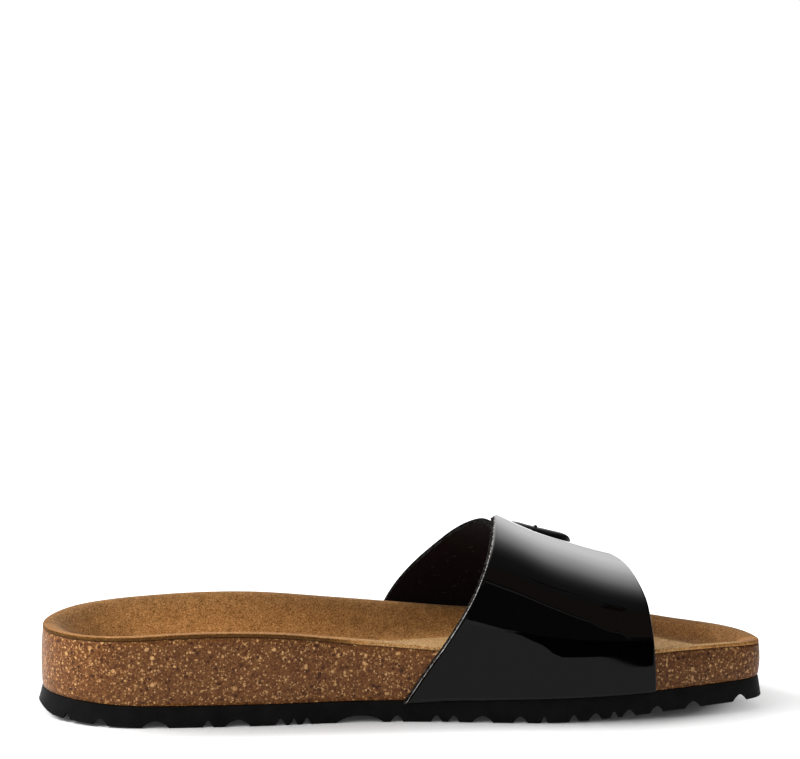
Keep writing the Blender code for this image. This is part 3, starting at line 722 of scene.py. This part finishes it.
def suede_material():
    """Tan suede: short nap with fine dark pits, mottled where the nap lies different ways."""
    material, shader, where = new_material(
        "suede_tan", Roughness=0.95, Specular_IOR_Level=0.05,
        Sheen_Weight=0.08, Sheen_Roughness=0.45, Sheen_Tint=(1.0, 0.80, 0.55, 1),
    )
    nap = noise(where, 0.55, detail=3.0, roughness=0.65)
    mottle = noise(where, 3.2, detail=4.0, roughness=0.6)
    drift = noise(where, 38.0)
    colour = ramp(nap, (
        (0.32, (0.112, 0.045, 0.0112)),
        (0.50, (0.290, 0.135, 0.0420)),
        (0.68, (0.475, 0.250, 0.0900)),
    ))
    shade = ramp(mottle, ((0.3, (0.74, 0.72, 0.68)), (0.7, (1.08, 1.08, 1.08))))
    colour = times(colour, shade)
    wide = ramp(drift, ((0.3, (0.92, 0.90, 0.87)), (0.7, (1.05, 1.05, 1.06))))
    # Painted light and shade from the mesh's tones, tinted where palest and darkest
    colour, tone = toned(times(colour, wide))
    for tones, tint in ((PAINTED_LIGHT_TINT_TONES, PAINTED_LIGHT_TINT), (PAINTED_SHADE_TINT_TONES, PAINTED_SHADE_TINT)):
        colour = times(colour, blend(between(tone, *tones), (1, 1, 1), tint))
    normal = bump(nap, 0.16, 0.6, bump(mottle, 0.25, 0.4))
    connect(shader, Base_Color=colour, Normal=normal)
    return material


def patent_material():
    """Black patent leather: a deep smooth coat with a faint swell."""
    material, shader, where = new_material(
        "patent_black", Roughness=0.03, IOR=1.30, Base_Color=(0.0006, 0.0005, 0.0005, 1),
    )
    connect(shader, Normal=bump(noise(where, 14.0, detail=1.0), 0.05, 0.25))
    return material


def raw_edge_material(name, dark, pale):
    """A cut edge of the strap: leather fibres, speckled and rough, between two greys."""
    material, shader, where = new_material(name, Roughness=0.9, Specular_IOR_Level=0.0)
    fibre = noise(where, 0.5, detail=4.0, roughness=0.7)
    speck = cell_value(cells(warped(where, 0.6, 0.25), 0.6))
    stops = ((0.35, (dark, 0.9 * dark, 0.85 * dark)), (0.75, (pale, 0.95 * pale, 0.9 * pale)))
    colour = ramp(speck, stops)
    connect(shader, Base_Color=colour, Normal=bump(fibre, 0.2, 0.8))
    return material


def lining_material():
    """Dark brown fleece inside the strap."""
    material, shader, where = new_material(
        "lining_dark", Roughness=1.0, Specular_IOR_Level=0.03, Sheen_Weight=0.02, Sheen_Roughness=0.6,
    )
    nap = noise(where, 0.6, detail=5.0, roughness=0.7)
    colour = ramp(nap, ((0.3, (0.0037, 0.0016, 0.0021)), (0.7, (0.0125, 0.0066, 0.0084))))
    tufts = cell_value(cells(warped(where, 1.0, 0.6), 0.8))
    lint = between(tufts, 0.985, 0.992)
    colour = blend(lint, colour, (0.022, 0.018, 0.017))
    connect(shader, Base_Color=colour, Normal=bump(nap, 0.4, 0.8))
    return material


def buckle_material():
    """Black lacquered metal with a faint brushed unevenness."""
    material, shader, where = new_material("buckle_black", Specular_IOR_Level=0.12)
    tone = noise(where, 1.2, detail=3.0)
    colour = ramp(tone, ((0.3, 0.004), (0.7, 0.010)))
    rough = ramp(tone, ((0.3, 0.36), (0.7, 0.48)))
    connect(shader, Base_Color=colour, Roughness=rough)
    return material


# Pieces


def groove_mesh(material):
    """The wavy, arched trenches of the tread as one cutter."""
    points, faces = [], []
    places = np.arange(-GROOVE_REACH, GROOVE_REACH + GROOVE_STEP, GROOVE_STEP)
    across = np.linspace(1, -1, GROOVE_PROFILE_STEPS + 1)
    for x, mouth in GROOVES:
        edge, level = float(wall_y(x, "medial")), float(lift(x))
        roundness = GROOVE_ROUNDNESS + GROOVE_FLATTENING * mouth
        arch = level + GROOVE_DEPTH * (1 - abs(across) ** roundness)
        profile = [(-mouth / 2, level - BELOW_TREAD), (mouth / 2, level - BELOW_TREAD)]
        profile += [(mouth / 2 * share, z) for share, z in zip(across, arch)]
        start, count = len(points), len(profile)
        for y in places:
            middle = x + GROOVE_WAVE * math.sin(2 * math.pi * (y - edge) / GROOVE_WAVE_LENGTH)
            points += [(middle + dx, y, z) for dx, z in profile]
        for row in range(len(places) - 1):
            faces += faces_between(start + row * count, start + (row + 1) * count, count)
        faces.append(tuple(start + i for i in range(count)))
        end = start + (len(places) - 1) * count
        faces.append(tuple(end + i for i in reversed(range(count))))
    return mesh_object("groove_cutter", points, faces, [material])


def applied(piece):
    """Puts a piece's modifiers into its mesh."""
    graph = bpy.context.evaluated_depsgraph_get()
    mesh = bpy.data.meshes.new_from_object(piece.evaluated_get(graph))
    piece.modifiers.clear()
    piece.data = mesh


def build_outsole(material):
    rim = outline()
    rings = []
    for out, share in OUTSOLE_SIDE:
        ring = grown(rim, out)
        low, high = tread_height(ring[:, 0]), feather(ring[:, 0])
        rings.append(np.column_stack([ring, toward(low, high, share)]))
    outsole = loft("outsole_fine", rings, material, True, True)
    cutter = groove_mesh(material)
    cut = outsole.modifiers.new("tread", "BOOLEAN")
    cut.operation = "DIFFERENCE"
    cut.object = cutter
    applied(outsole)
    bpy.data.objects.remove(cutter)
    outsole.data.shade_smooth()
    outsole.data.set_sharp_from_angle(angle=math.radians(OUTSOLE_SHARP_ANGLE))
    piece_of(outsole, "outsole")


def build_cork(material):
    rim = outline()
    top = footbed_rings(LINER_THICKNESS + GAP, CORK_DEPTHS, CORK_INNER_STEPS)
    low, high = feather(rim[:, 0]) + GAP / 2, top[0][:, 2]
    wall = []
    for share in np.linspace(0, 1, CORK_WALL_STEPS + 1)[:-1]:
        bulge = WALL_BULGE * 4 * share * (1 - share) if share else -CORK_FOOT_TUCK
        wall.append(np.column_stack([grown(rim, bulge), toward(low, high, share)]))
    rings = wall + top
    # Painted shade: the cork is darker beside the toe
    tones = 1 - CORK_PAINTED_SHADE * hump(np.vstack(rings)[:, 0], CORK_PAINTED_SHADE_X, CORK_PAINTED_SHADE_REACH)
    cork = loft("cork_fine", rings, material, True, False, tones)
    piece_of(cork, "cork_footbed")


def painted_suede_light_and_shade(ring, rim):
    """Painted shade under the outer rim and on the toe's wall, painted light low down by the strap."""
    x = ring[:, 0]
    depth = np.linalg.norm(ring[:, :2] - rim, axis=1)
    by_strap, by_toe = passed(x, PALE_SPAN), passed(x, TOE_SPAN)
    before_tip = 1 - passed(x, TOE_TIP_SPAN)
    pale = toward(PAINTED_LIGHT_TONE, PAINTED_TOE_LIGHT_TONE, by_toe)
    low = toward(PAINTED_LOW_LIGHT, PAINTED_FOREFOOT_LIGHT, passed(x, FOREFOOT_SPAN))
    far = toward(PAINTED_WALL_SHADE, low, passed(depth, LOW_DEPTH))
    far = toward(far, pale, by_strap * passed(depth, PALE_DEPTH))
    past_line = (ring[:, :2] - PAINTED_LIGHT_LINE_POINT) @ PAINTED_LIGHT_LINE_ACROSS
    toe = toward(PAINTED_TOE_TIP_SHADE, TOE_PAINTED_WALL_SHADE, before_tip)
    toe = toward(toe, pale, ease(0.5 - past_line / PAINTED_LIGHT_LINE_WIDTH))
    far = toward(far, toe, by_toe)
    near = toward(PAINTED_NEAR_RIM_LIGHT, pale, by_strap * before_tip)
    edge = toward(PAINTED_CUT_EDGE_SHADE, PAINTED_CUT_EDGE_LIGHT, passed(x, PALE_EDGE_SPAN))
    edge = toward(edge, PAINTED_TOE_EDGE_LIGHT, passed(x, TOE_EDGE_SPAN))
    return np.where(depth < CUT_EDGE_DEPTH, edge, by_side(near, far))


def build_insole(material):
    rim = outline()
    upper = footbed_rings(0.0, LINER_DEPTHS, LINER_INNER_STEPS)
    under = footbed_rings(LINER_THICKNESS, CORK_DEPTHS, CORK_INNER_STEPS)
    # Painted light and shade for each ring; the rings beneath take those of the cut edge
    tones = [painted_suede_light_and_shade(upper[0], rim)] * len(under) + [painted_suede_light_and_shade(ring, rim) for ring in upper]
    for ring, depth in zip(upper, LINER_DEPTHS):
        ring[:, 2] -= rounding(depth, LINER_EDGE_RADIUS)
    insole = loft("insole_fine", under[::-1] + upper, material, False, False, np.concatenate(tones))
    piece_of(insole, "insole")


def girth_rows(start, end):
    """Girths of a half's rows, closer together where its lower hem rolls under."""
    rows = np.linspace(start, end, round((end - start) * GIRTH_STEPS_PER_UNIT) + 1)
    per_mm = (1 - SHOULDER_SHARE) / BELOW_SHOULDER
    extra = [-SHOULDER_SHARE, SHOULDER_SHARE]
    for hem in (start, end):
        if abs(hem) == 1:
            extra += [hem * (1 - inset * per_mm) for inset in HEM_INSETS]
    girths = [round(float(girth), GIRTH_DIGITS) for girth in (*rows, *extra) if start <= girth <= end]
    return np.array(sorted(set(girths)))


def strap_faces(rows, columns, painted_shade_columns):
    """Faces of a strap's half and their materials.

    Its points are the outside's, the inside's and those along the middle of the back edge. The edge's finish,
    a painted shade, reaches over the first and last painted_shade_columns of the outside.
    """
    inside, middle = rows * columns, 2 * rows * columns
    faces = []
    for r in range(rows - 1):
        for c in range(columns - 1):
            a, b = r * columns + c, (r + 1) * columns + c
            # Columns by the sides that take the cut edge's finish: painted shade over the patent's rounding
            painted_shade = min(c, columns - 2 - c) < painted_shade_columns
            faces.append(((a, a + 1, b + 1, b), CUT_EDGE if painted_shade else OUTSIDE))
            faces.append(((inside + a, inside + b, inside + b + 1, inside + a + 1), INSIDE))
        a, b = r * columns, (r + 1) * columns
        faces.append(((a, b, middle + r + 1, middle + r), CUT_EDGE))
        faces.append(((middle + r, middle + r + 1, inside + b, inside + a), FIBRE_EDGE))
        a, b = (r + 2) * columns - 1, (r + 1) * columns - 1
        faces.append(((a, b, inside + b, inside + a), CUT_EDGE))
    for r in (0, rows - 1):
        for c in range(columns - 1):
            a = r * columns + c
            end_face = (a, a + 1, inside + a + 1, inside + a)
            faces.append((end_face if c else (*end_face, middle + r), OUTSIDE))
    return [corners for corners, _ in faces], [slot for _, slot in faces]


def strap_half(name, edges, height, start, end, curl, slant, painted_shade_columns, materials):
    """One half of the strap as a closed body: patent outside, cut edges, fleece inside.

    Its inside has a height over the last at each girth. Its back corner curls up, and its back edge is cut at
    a slant, in two strips.
    """
    girths = girth_rows(start, end)
    back, front = (edge[:, None] for edge in edges(girths))
    back = back + slant * ease(girths / SLANT_AHEAD_GIRTH)[:, None]
    inset = np.minimum(np.array(EDGE_INSETS)[None], (front - back) * INSET_LIMIT)
    shares = np.linspace(0, 1, ACROSS_STEPS + 1)[1:-1][None]
    first, last = back + inset[:, -1:], front - inset[:, -1:]
    x = np.hstack([back + inset, toward(first, last, shares), front - inset[:, ::-1]])
    girth = np.broadcast_to(girths[:, None], x.shape)
    edge_drop = rounding(np.minimum(x - back, front - x), EDGE_RADIUS)
    hem_mm = (1 - np.abs(girth)) / (1 - SHOULDER_SHARE) * BELOW_SHOULDER
    hem_drop = rounding(hem_mm, HEM_RADIUS)
    corner = hump(girth, CURL_GIRTH, CURL_SPREAD) * ease(1 - (x - back) / CURL_REACH)
    under = height(girths)[:, None] + curl * corner
    over = under + STRAP_THICKNESS - np.maximum(edge_drop, hem_drop)
    outer = above_last(x, girth, over)
    on_panel = 1 - passed(girth, SHOULDER_GIRTH)
    inner = above_last(x - slant * on_panel * ease(1 - (x - back) / SLANT_REACH), girth, under)
    split = toward(outer[:, 0], inner[:, 0], PALE_EDGE_SHARE)
    points = np.concatenate([outer.reshape(-1, 3), inner.reshape(-1, 3), split])
    faces, slots = strap_faces(*x.shape, painted_shade_columns)
    half = mesh_object(name, points, faces, materials, slots, STRAP_SHARP_ANGLE)
    piece_of(half, "upper")


def swept(name, path, radii, material, closed):
    """A round bar along a path."""
    path = np.asarray(path, float)
    count = len(path)
    if closed:
        along = np.roll(path, -1, axis=0) - np.roll(path, 1, axis=0)
    else:
        along = np.gradient(path, axis=0)
    along = unit(along)
    side = unit(np.cross(along, (0, 0, 1)))
    rise = np.cross(side, along)
    turns = np.linspace(0, 2 * math.pi, TUBE_SIDES, endpoint=False)
    rings = path[:, None] + np.asarray(radii)[:, None, None] * (
        np.cos(turns)[None, :, None] * side[:, None] + np.sin(turns)[None, :, None] * rise[:, None]
    )
    faces = []
    for ring in range(count if closed else count - 1):
        faces += faces_between(ring * TUBE_SIDES, (ring + 1) % count * TUBE_SIDES, TUBE_SIDES)
    if not closed:
        faces.append(tuple(range(TUBE_SIDES)))
        faces.append(tuple((count - 1) * TUBE_SIDES + i for i in reversed(range(TUBE_SIDES))))
    return mesh_object(name, rings.reshape(-1, 3), faces, [material], sharp_angle=BUCKLE_SHARP_ANGLE)


def frame_path():
    """The frame's centre line, over the tongue at one bar and under it at the pivot bar, and its radii."""
    middle = (NEAR_BAR_GIRTH + PIVOT_BAR_GIRTH) / 2
    corners = []
    for quarter, (sign_x, sign_girth) in enumerate(((1, 1), (-1, 1), (-1, -1), (1, -1))):
        corner = PIVOT_CORNER if sign_girth > 0 else NEAR_CORNER
        half_girth = (PIVOT_BAR_GIRTH - NEAR_BAR_GIRTH) / 2 - corner / MM_PER_GIRTH
        for turn in np.linspace(0, math.pi / 2, CORNER_STEPS + 1) + quarter * math.pi / 2:
            x = sign_x * (FRAME_HALF_WIDTH - corner) + corner * math.cos(turn)
            girth = sign_girth * half_girth + corner / MM_PER_GIRTH * math.sin(turn)
            corners.append((TONGUE_X + FRAME_AHEAD + x, middle + girth))
    path, radii = [], []
    for (x, girth), (next_x, next_girth) in zip(corners, corners[1:] + corners[:1]):
        length = math.hypot(next_x - x, (next_girth - girth) * MM_PER_GIRTH)
        pieces = math.ceil(length)
        for share in np.arange(pieces) / pieces:
            place, at = toward(x, next_x, share), toward(girth, next_girth, share)
            down = float(passed(at, (NEAR_BAR_GIRTH, PIVOT_BAR_GIRTH)))
            skew = FRAME_SKEW * (TONGUE_X - place) * (1 - down)
            path.append(above_last(place, at + skew, toward(NEAR_BAR_HEIGHT, PIVOT_HEIGHT, down)))
            radii.append(toward(NEAR_BAR_RADIUS, BAR_RADIUS, down))
    return path, radii


def prong_path():
    """The prong's centre line: a hook over the pivot bar, then straight to rest on the other bar."""
    hook = BAR_RADIUS + GAP + PRONG_RADIUS
    pivot = above_last(TONGUE_X, PIVOT_BAR_GIRTH, PIVOT_HEIGHT)
    up = last_normal(TONGUE_X, PIVOT_BAR_GIRTH)
    lying = NEAR_BAR_HEIGHT + NEAR_BAR_RADIUS + PRONG_SEAT
    rest = above_last(TONGUE_X, NEAR_BAR_GIRTH, lying)
    tip_girth = NEAR_BAR_GIRTH - PRONG_OVERHANG_GIRTH
    tip = above_last(TONGUE_X, tip_girth, lying - PRONG_TIP_DROP)
    along = rest - pivot
    along = unit(along - up * (along @ up))
    turns = np.radians(np.linspace(*PRONG_HOOK_TURN, CORNER_STEPS + 1))
    arc = [pivot + hook * (math.cos(turn) * along + math.sin(turn) * up) for turn in turns]
    shares = np.linspace(0, 1, PRONG_STRAIGHT_STEPS + 1)[1:]
    straight = [toward(arc[-1], rest, share) for share in shares]
    return arc + straight + [toward(rest, tip, share) for share, _ in PRONG_TIP]


def build_buckle(metal, patent):
    frame_points, frame_radii = frame_path()
    frame_bar = swept("buckle_frame_fine", frame_points, frame_radii, metal, True)
    piece_of(frame_bar, "buckle_frame")
    points = prong_path()
    radii = np.full(len(points), PRONG_RADIUS)
    radii[-len(PRONG_TIP):] *= [share for _, share in PRONG_TIP]
    prong = swept("buckle_prong_fine", points, radii, metal, False)
    piece_of(prong, "buckle_prong")
    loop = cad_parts["buckle_loop"]
    loop.data.materials.clear()
    loop.data.materials.append(patent)


# Studio

FLOOR_REACH = 6.0
# The floor's own glow, by the distance from a line along the middle of the shoe
FLOOR_SPINE = 0.081
FLOOR_SPINE_MIDDLE = -0.012
FLOOR_GLOW = ((0.045, 0.02), (0.051, 0.16), (0.058, 0.38), (0.075, 0.56), (0.40, 0.6), (1.3, 1.0))
# A cloth arched over the shoe, which only reflections see. Its glow is a share of its radiance, by the angle
# in degrees over the shoe: 0 is the horizon on the camera's side, 90 the top and 180 the horizon behind.
SOFTBOX_RADIUS = 1.1
SOFTBOX_HALF_WIDTH = 0.8
SOFTBOX_STEPS = 30
SOFTBOX_RADIANCE = 6.2
SOFTBOX_GLOW = (
    (50, 0.035), (67, 0.050), (75, 0.100), (81, 0.185), (90, 0.400), (100, 0.750), (108, 0.920),
    (117, 1.000), (132, 0.920), (152, 0.540), (165, 0.300), (177, 0.160),
)
# Light on the matte surfaces: two square lamps, each with its place, side and watts, and the room
LAMPS = (
    ("key", (-1.0, 0.25, 0.95), 1.0, 34.0),
    ("heel_side", (-0.95, -0.45, 0.45), 0.6, 4.5),
)
ROOM_FOR_CAMERA = 1.0
ROOM_FOR_MATTE = 0.42
ROOM_FOR_GLOSS = 0.07
# What only reflections see before the shoe, in metres. A black flag on the floor, as x and y round its edge
FLAG = (
    (3.0, -0.11), (0.12, -0.12), (0.09, -0.131), (0.06, -0.136), (0.05, -0.16), (0.04, -0.24),
    (0.02, -0.36), (0.0, -0.54), (-0.05, -1.05), (-0.2, -3.0), (-0.4, -5.9), (3.0, -5.9),
)
FLAG_HEIGHT = 0.0002
# A grey card under the flag, as x and y round its edge
FLOOR_CARD = ((-3.0, -0.06), (3.0, -0.06), (3.0, -2.9), (-3.0, -2.9))
FLOOR_CARD_HEIGHT = 0.0001
FLOOR_CARD_RADIANCE = 0.79
# A white card that stands past the grey one, as x and z round its edge
CARD = (
    (-0.18, 0.0), (-0.21, 0.02), (-0.39, 0.07), (-0.46, 0.11), (-0.66, 0.37), (-3.0, 0.5),
    (-3.0, 0.0),
)
CARD_Y = -3.0
CARD_RADIANCE = 0.95
# A faint light line, as points along it
LINE = (
    (-0.30, -0.88, 0.60), (0.05, -0.885, 0.58), (0.15, -0.89, 0.56), (0.26, -0.90, 0.51),
    (0.38, -0.92, 0.40), (0.425, -0.955, 0.24), (0.47, -0.963, 0.06),
)
LINE_HALF_WIDTH = 0.016
LINE_RADIANCE = (0.62, 0.55, 0.55)
# A dark stripe before the dim room, as points along it
STRIPE = (
    (0.33, -0.55, 0.79), (0.41, -0.50, 0.80), (0.46, -0.49, 0.77), (0.485, -0.51, 0.745),
    (0.49, -0.55, 0.715), (0.47, -0.62, 0.675), (0.495, -0.67, 0.61),
)
STRIPE_HALF_WIDTH = 0.016
STRIPE_RADIANCE = (0.10, 0.08, 0.065)
# The dim room, from a little over the light line up to its top, and its end past the toe
ROOM_ABOVE_LINE = 0.05
ROOM_TOP = (-0.70, 0.86)
ROOM_END = ((1.4, -0.75, 0.03), (1.4, -0.70, 0.86))
ROOM_RADIANCE = (0.26, 0.21, 0.18)


def staged(name, points, material, in_pairs):
    """A surface of the stage from points in metres: a strip between pairs of them, or one face."""
    faces = [tuple(range(len(points)))]
    if in_pairs:
        faces = [(i, i + 1, i + 3, i + 2) for i in range(0, len(points) - 2, 2)]
    mesh = bpy.data.meshes.new(name)
    mesh.from_pydata(points, [], faces)
    mesh.materials.append(material)
    made = placed(name, mesh)
    return made


def sheet(name, bend, half_width, material):
    """A sheet that runs straight along X and bends along a line of (y, z), in metres."""
    points = [(x, y, z) for y, z in bend for x in (-half_width, half_width)]
    return staged(name, points, material, True)


def floor_material():
    """White floor that glows away from the shoe: its shadow is short, and it stays white to the horizon."""
    material, shader, where = new_material(
        "floor_white", Roughness=1.0, Specular_IOR_Level=0.0,
        Base_Color=(0.8, 0.8, 0.8, 1), Emission_Strength=1.0,
    )
    place = put(where, "ShaderNodeSeparateXYZ", {"Vector": where}).outputs
    along = calculate("SUBTRACT", place["X"], FLOOR_SPINE_MIDDLE)
    beyond = calculate("SUBTRACT", calculate("ABSOLUTE", along, 0.0), FLOOR_SPINE)
    inputs = {"X": calculate("MAXIMUM", beyond, 0.0), "Y": place["Y"]}
    to_spine_line = put(where, "ShaderNodeCombineXYZ", inputs).outputs["Vector"]
    away = put(where, "ShaderNodeVectorMath", {0: to_spine_line}, operation="LENGTH").outputs["Value"]
    farthest = FLOOR_GLOW[-1][0]
    stops = [(metres / farthest, glow) for metres, glow in FLOOR_GLOW]
    colour = ramp(calculate("DIVIDE", away, farthest), stops)
    connect(shader, Emission_Color=colour)
    return material


def softbox_material():
    """Glowing cloth, brightest over the back of the shoe."""
    material, shader, where = new_material(
        "softbox", Base_Color=(0, 0, 0, 1), Specular_IOR_Level=0.0, Emission_Strength=SOFTBOX_RADIANCE,
    )
    place = put(where, "ShaderNodeSeparateXYZ", {"Vector": where}).outputs
    angle = calculate("ARCTAN2", place["Z"], calculate("MULTIPLY", place["Y"], -1.0))
    first, last = SOFTBOX_GLOW[0][0], SOFTBOX_GLOW[-1][0]
    inputs = {"Value": angle, "From Min": math.radians(first), "From Max": math.radians(last)}
    along = put(angle, "ShaderNodeMapRange", inputs).outputs["Result"]
    stops = [((degrees - first) / (last - first), share) for degrees, share in SOFTBOX_GLOW]
    connect(shader, Emission_Color=ramp(along, stops))
    return material


def ribbon(middle, half_width):
    """Pairs of points below and above the points of a line."""
    return [(x, y, z + side) for x, y, z in middle for side in (-half_width, half_width)]


def reflected(name, points, radiance, in_pairs=False):
    """A stage surface of one glow, which only reflections see."""
    material = new_material(
        name, Base_Color=(0, 0, 0, 1), Specular_IOR_Level=0.0,
        Emission_Color=(*radiance, 1), Emission_Strength=1.0,
    )[0]
    made = staged(name, points, material, in_pairs)
    made.visible_camera = False
    made.visible_diffuse = False
    made.visible_shadow = False


def build_reflected():
    """What the patent strap mirrors on the camera's side."""
    reflected("flag", [(x, y, FLAG_HEIGHT) for x, y in FLAG], (0, 0, 0))
    floor_card = [(x, y, FLOOR_CARD_HEIGHT) for x, y in FLOOR_CARD]
    reflected("floor_card", floor_card, (FLOOR_CARD_RADIANCE,) * 3)
    reflected("card", [(x, CARD_Y, z) for x, z in CARD], (CARD_RADIANCE,) * 3)
    reflected("line", ribbon(LINE, LINE_HALF_WIDTH), LINE_RADIANCE, in_pairs=True)
    reflected("stripe", ribbon(STRIPE, STRIPE_HALF_WIDTH), STRIPE_RADIANCE, in_pairs=True)
    room = [point for x, y, z in LINE for point in ((x, y, z + ROOM_ABOVE_LINE), (x, *ROOM_TOP))]
    reflected("room", room + list(ROOM_END), ROOM_RADIANCE, in_pairs=True)


def build_studio():
    sheet("floor", ((-FLOOR_REACH, 0.0), (FLOOR_REACH, 0.0)), FLOOR_REACH, floor_material())
    angles = np.radians(np.linspace(SOFTBOX_GLOW[0][0], SOFTBOX_GLOW[-1][0], SOFTBOX_STEPS + 1))
    bend = [(-SOFTBOX_RADIUS * math.cos(angle), SOFTBOX_RADIUS * math.sin(angle)) for angle in angles]
    softbox = sheet("softbox", bend, SOFTBOX_HALF_WIDTH, softbox_material())
    softbox.visible_camera = False
    softbox.visible_diffuse = False
    build_reflected()
    for name, place, side, watts in LAMPS:
        light = bpy.data.lights.new(name, "AREA")
        light.size = side
        light.energy = watts
        lamp = placed(name, light)
        lamp.location = place
        lamp.rotation_euler = mathutils.Vector(place).to_track_quat("Z", "Y").to_euler()
        lamp.visible_glossy = False
    world = bpy.data.worlds.new("studio")
    world.use_nodes = True
    backdrop = world.node_tree.nodes["Background"]
    rays = put(backdrop, "ShaderNodeLightPath").outputs
    for_camera = calculate("MULTIPLY", rays["Is Camera Ray"], ROOM_FOR_CAMERA - ROOM_FOR_GLOSS)
    for_matte = calculate("MULTIPLY", rays["Is Diffuse Ray"], ROOM_FOR_MATTE - ROOM_FOR_GLOSS)
    strength = calculate("ADD", calculate("ADD", for_camera, for_matte), ROOM_FOR_GLOSS)
    backdrop.inputs["Color"].default_value = (1, 1, 1, 1)
    connect(backdrop, Strength=strength)
    bpy.context.scene.world = world
    bpy.context.scene.view_settings.view_transform = "Standard"


def build_camera():
    data = bpy.data.cameras.new("camera")
    data.lens = CAMERA_LENS
    camera = placed("camera", data)
    camera.location = CAMERA_PLACE
    camera.rotation_euler = [math.radians(turn) for turn in CAMERA_TURN]
    bpy.context.scene.camera = camera


def main():
    build_camera()
    build_studio()
    patent, lining = patent_material(), lining_material()
    build_outsole(foam_material())
    build_cork(cork_material())
    build_insole(suede_material())
    raw_edge = raw_edge_material("raw_edge", dark=0.06, pale=0.28)
    # A darker copy of the same cut edge for the outer half: painted shade
    painted_shade_edge = raw_edge_material("painted_shade_edge", dark=0.002, pale=0.014)
    fibre_edge = raw_edge_material("fibre_edge", dark=0.003, pale=0.025)
    # The outer half's cut edges and rounded edges take the painted-shade copy of the cut edge
    strap_half(
        "upper_outer_half", lateral_edges, np.zeros_like, start=LATERAL_PANEL[0][0],
        end=LATERAL_PANEL[-1][0], curl=0.0, slant=0.0, painted_shade_columns=len(EDGE_INSETS) - 1,
        materials=[patent, painted_shade_edge, lining, painted_shade_edge],
    )
    strap_half(
        "upper_inner_half", medial_edges, tongue_height, start=MEDIAL_PANEL[0][0],
        end=TONGUE_TIP_GIRTH[1] - TIP_CUT, curl=CURL, slant=SLANT, painted_shade_columns=0,
        materials=[patent, raw_edge, lining, fibre_edge],
    )
    build_buckle(buckle_material(), patent)


main()
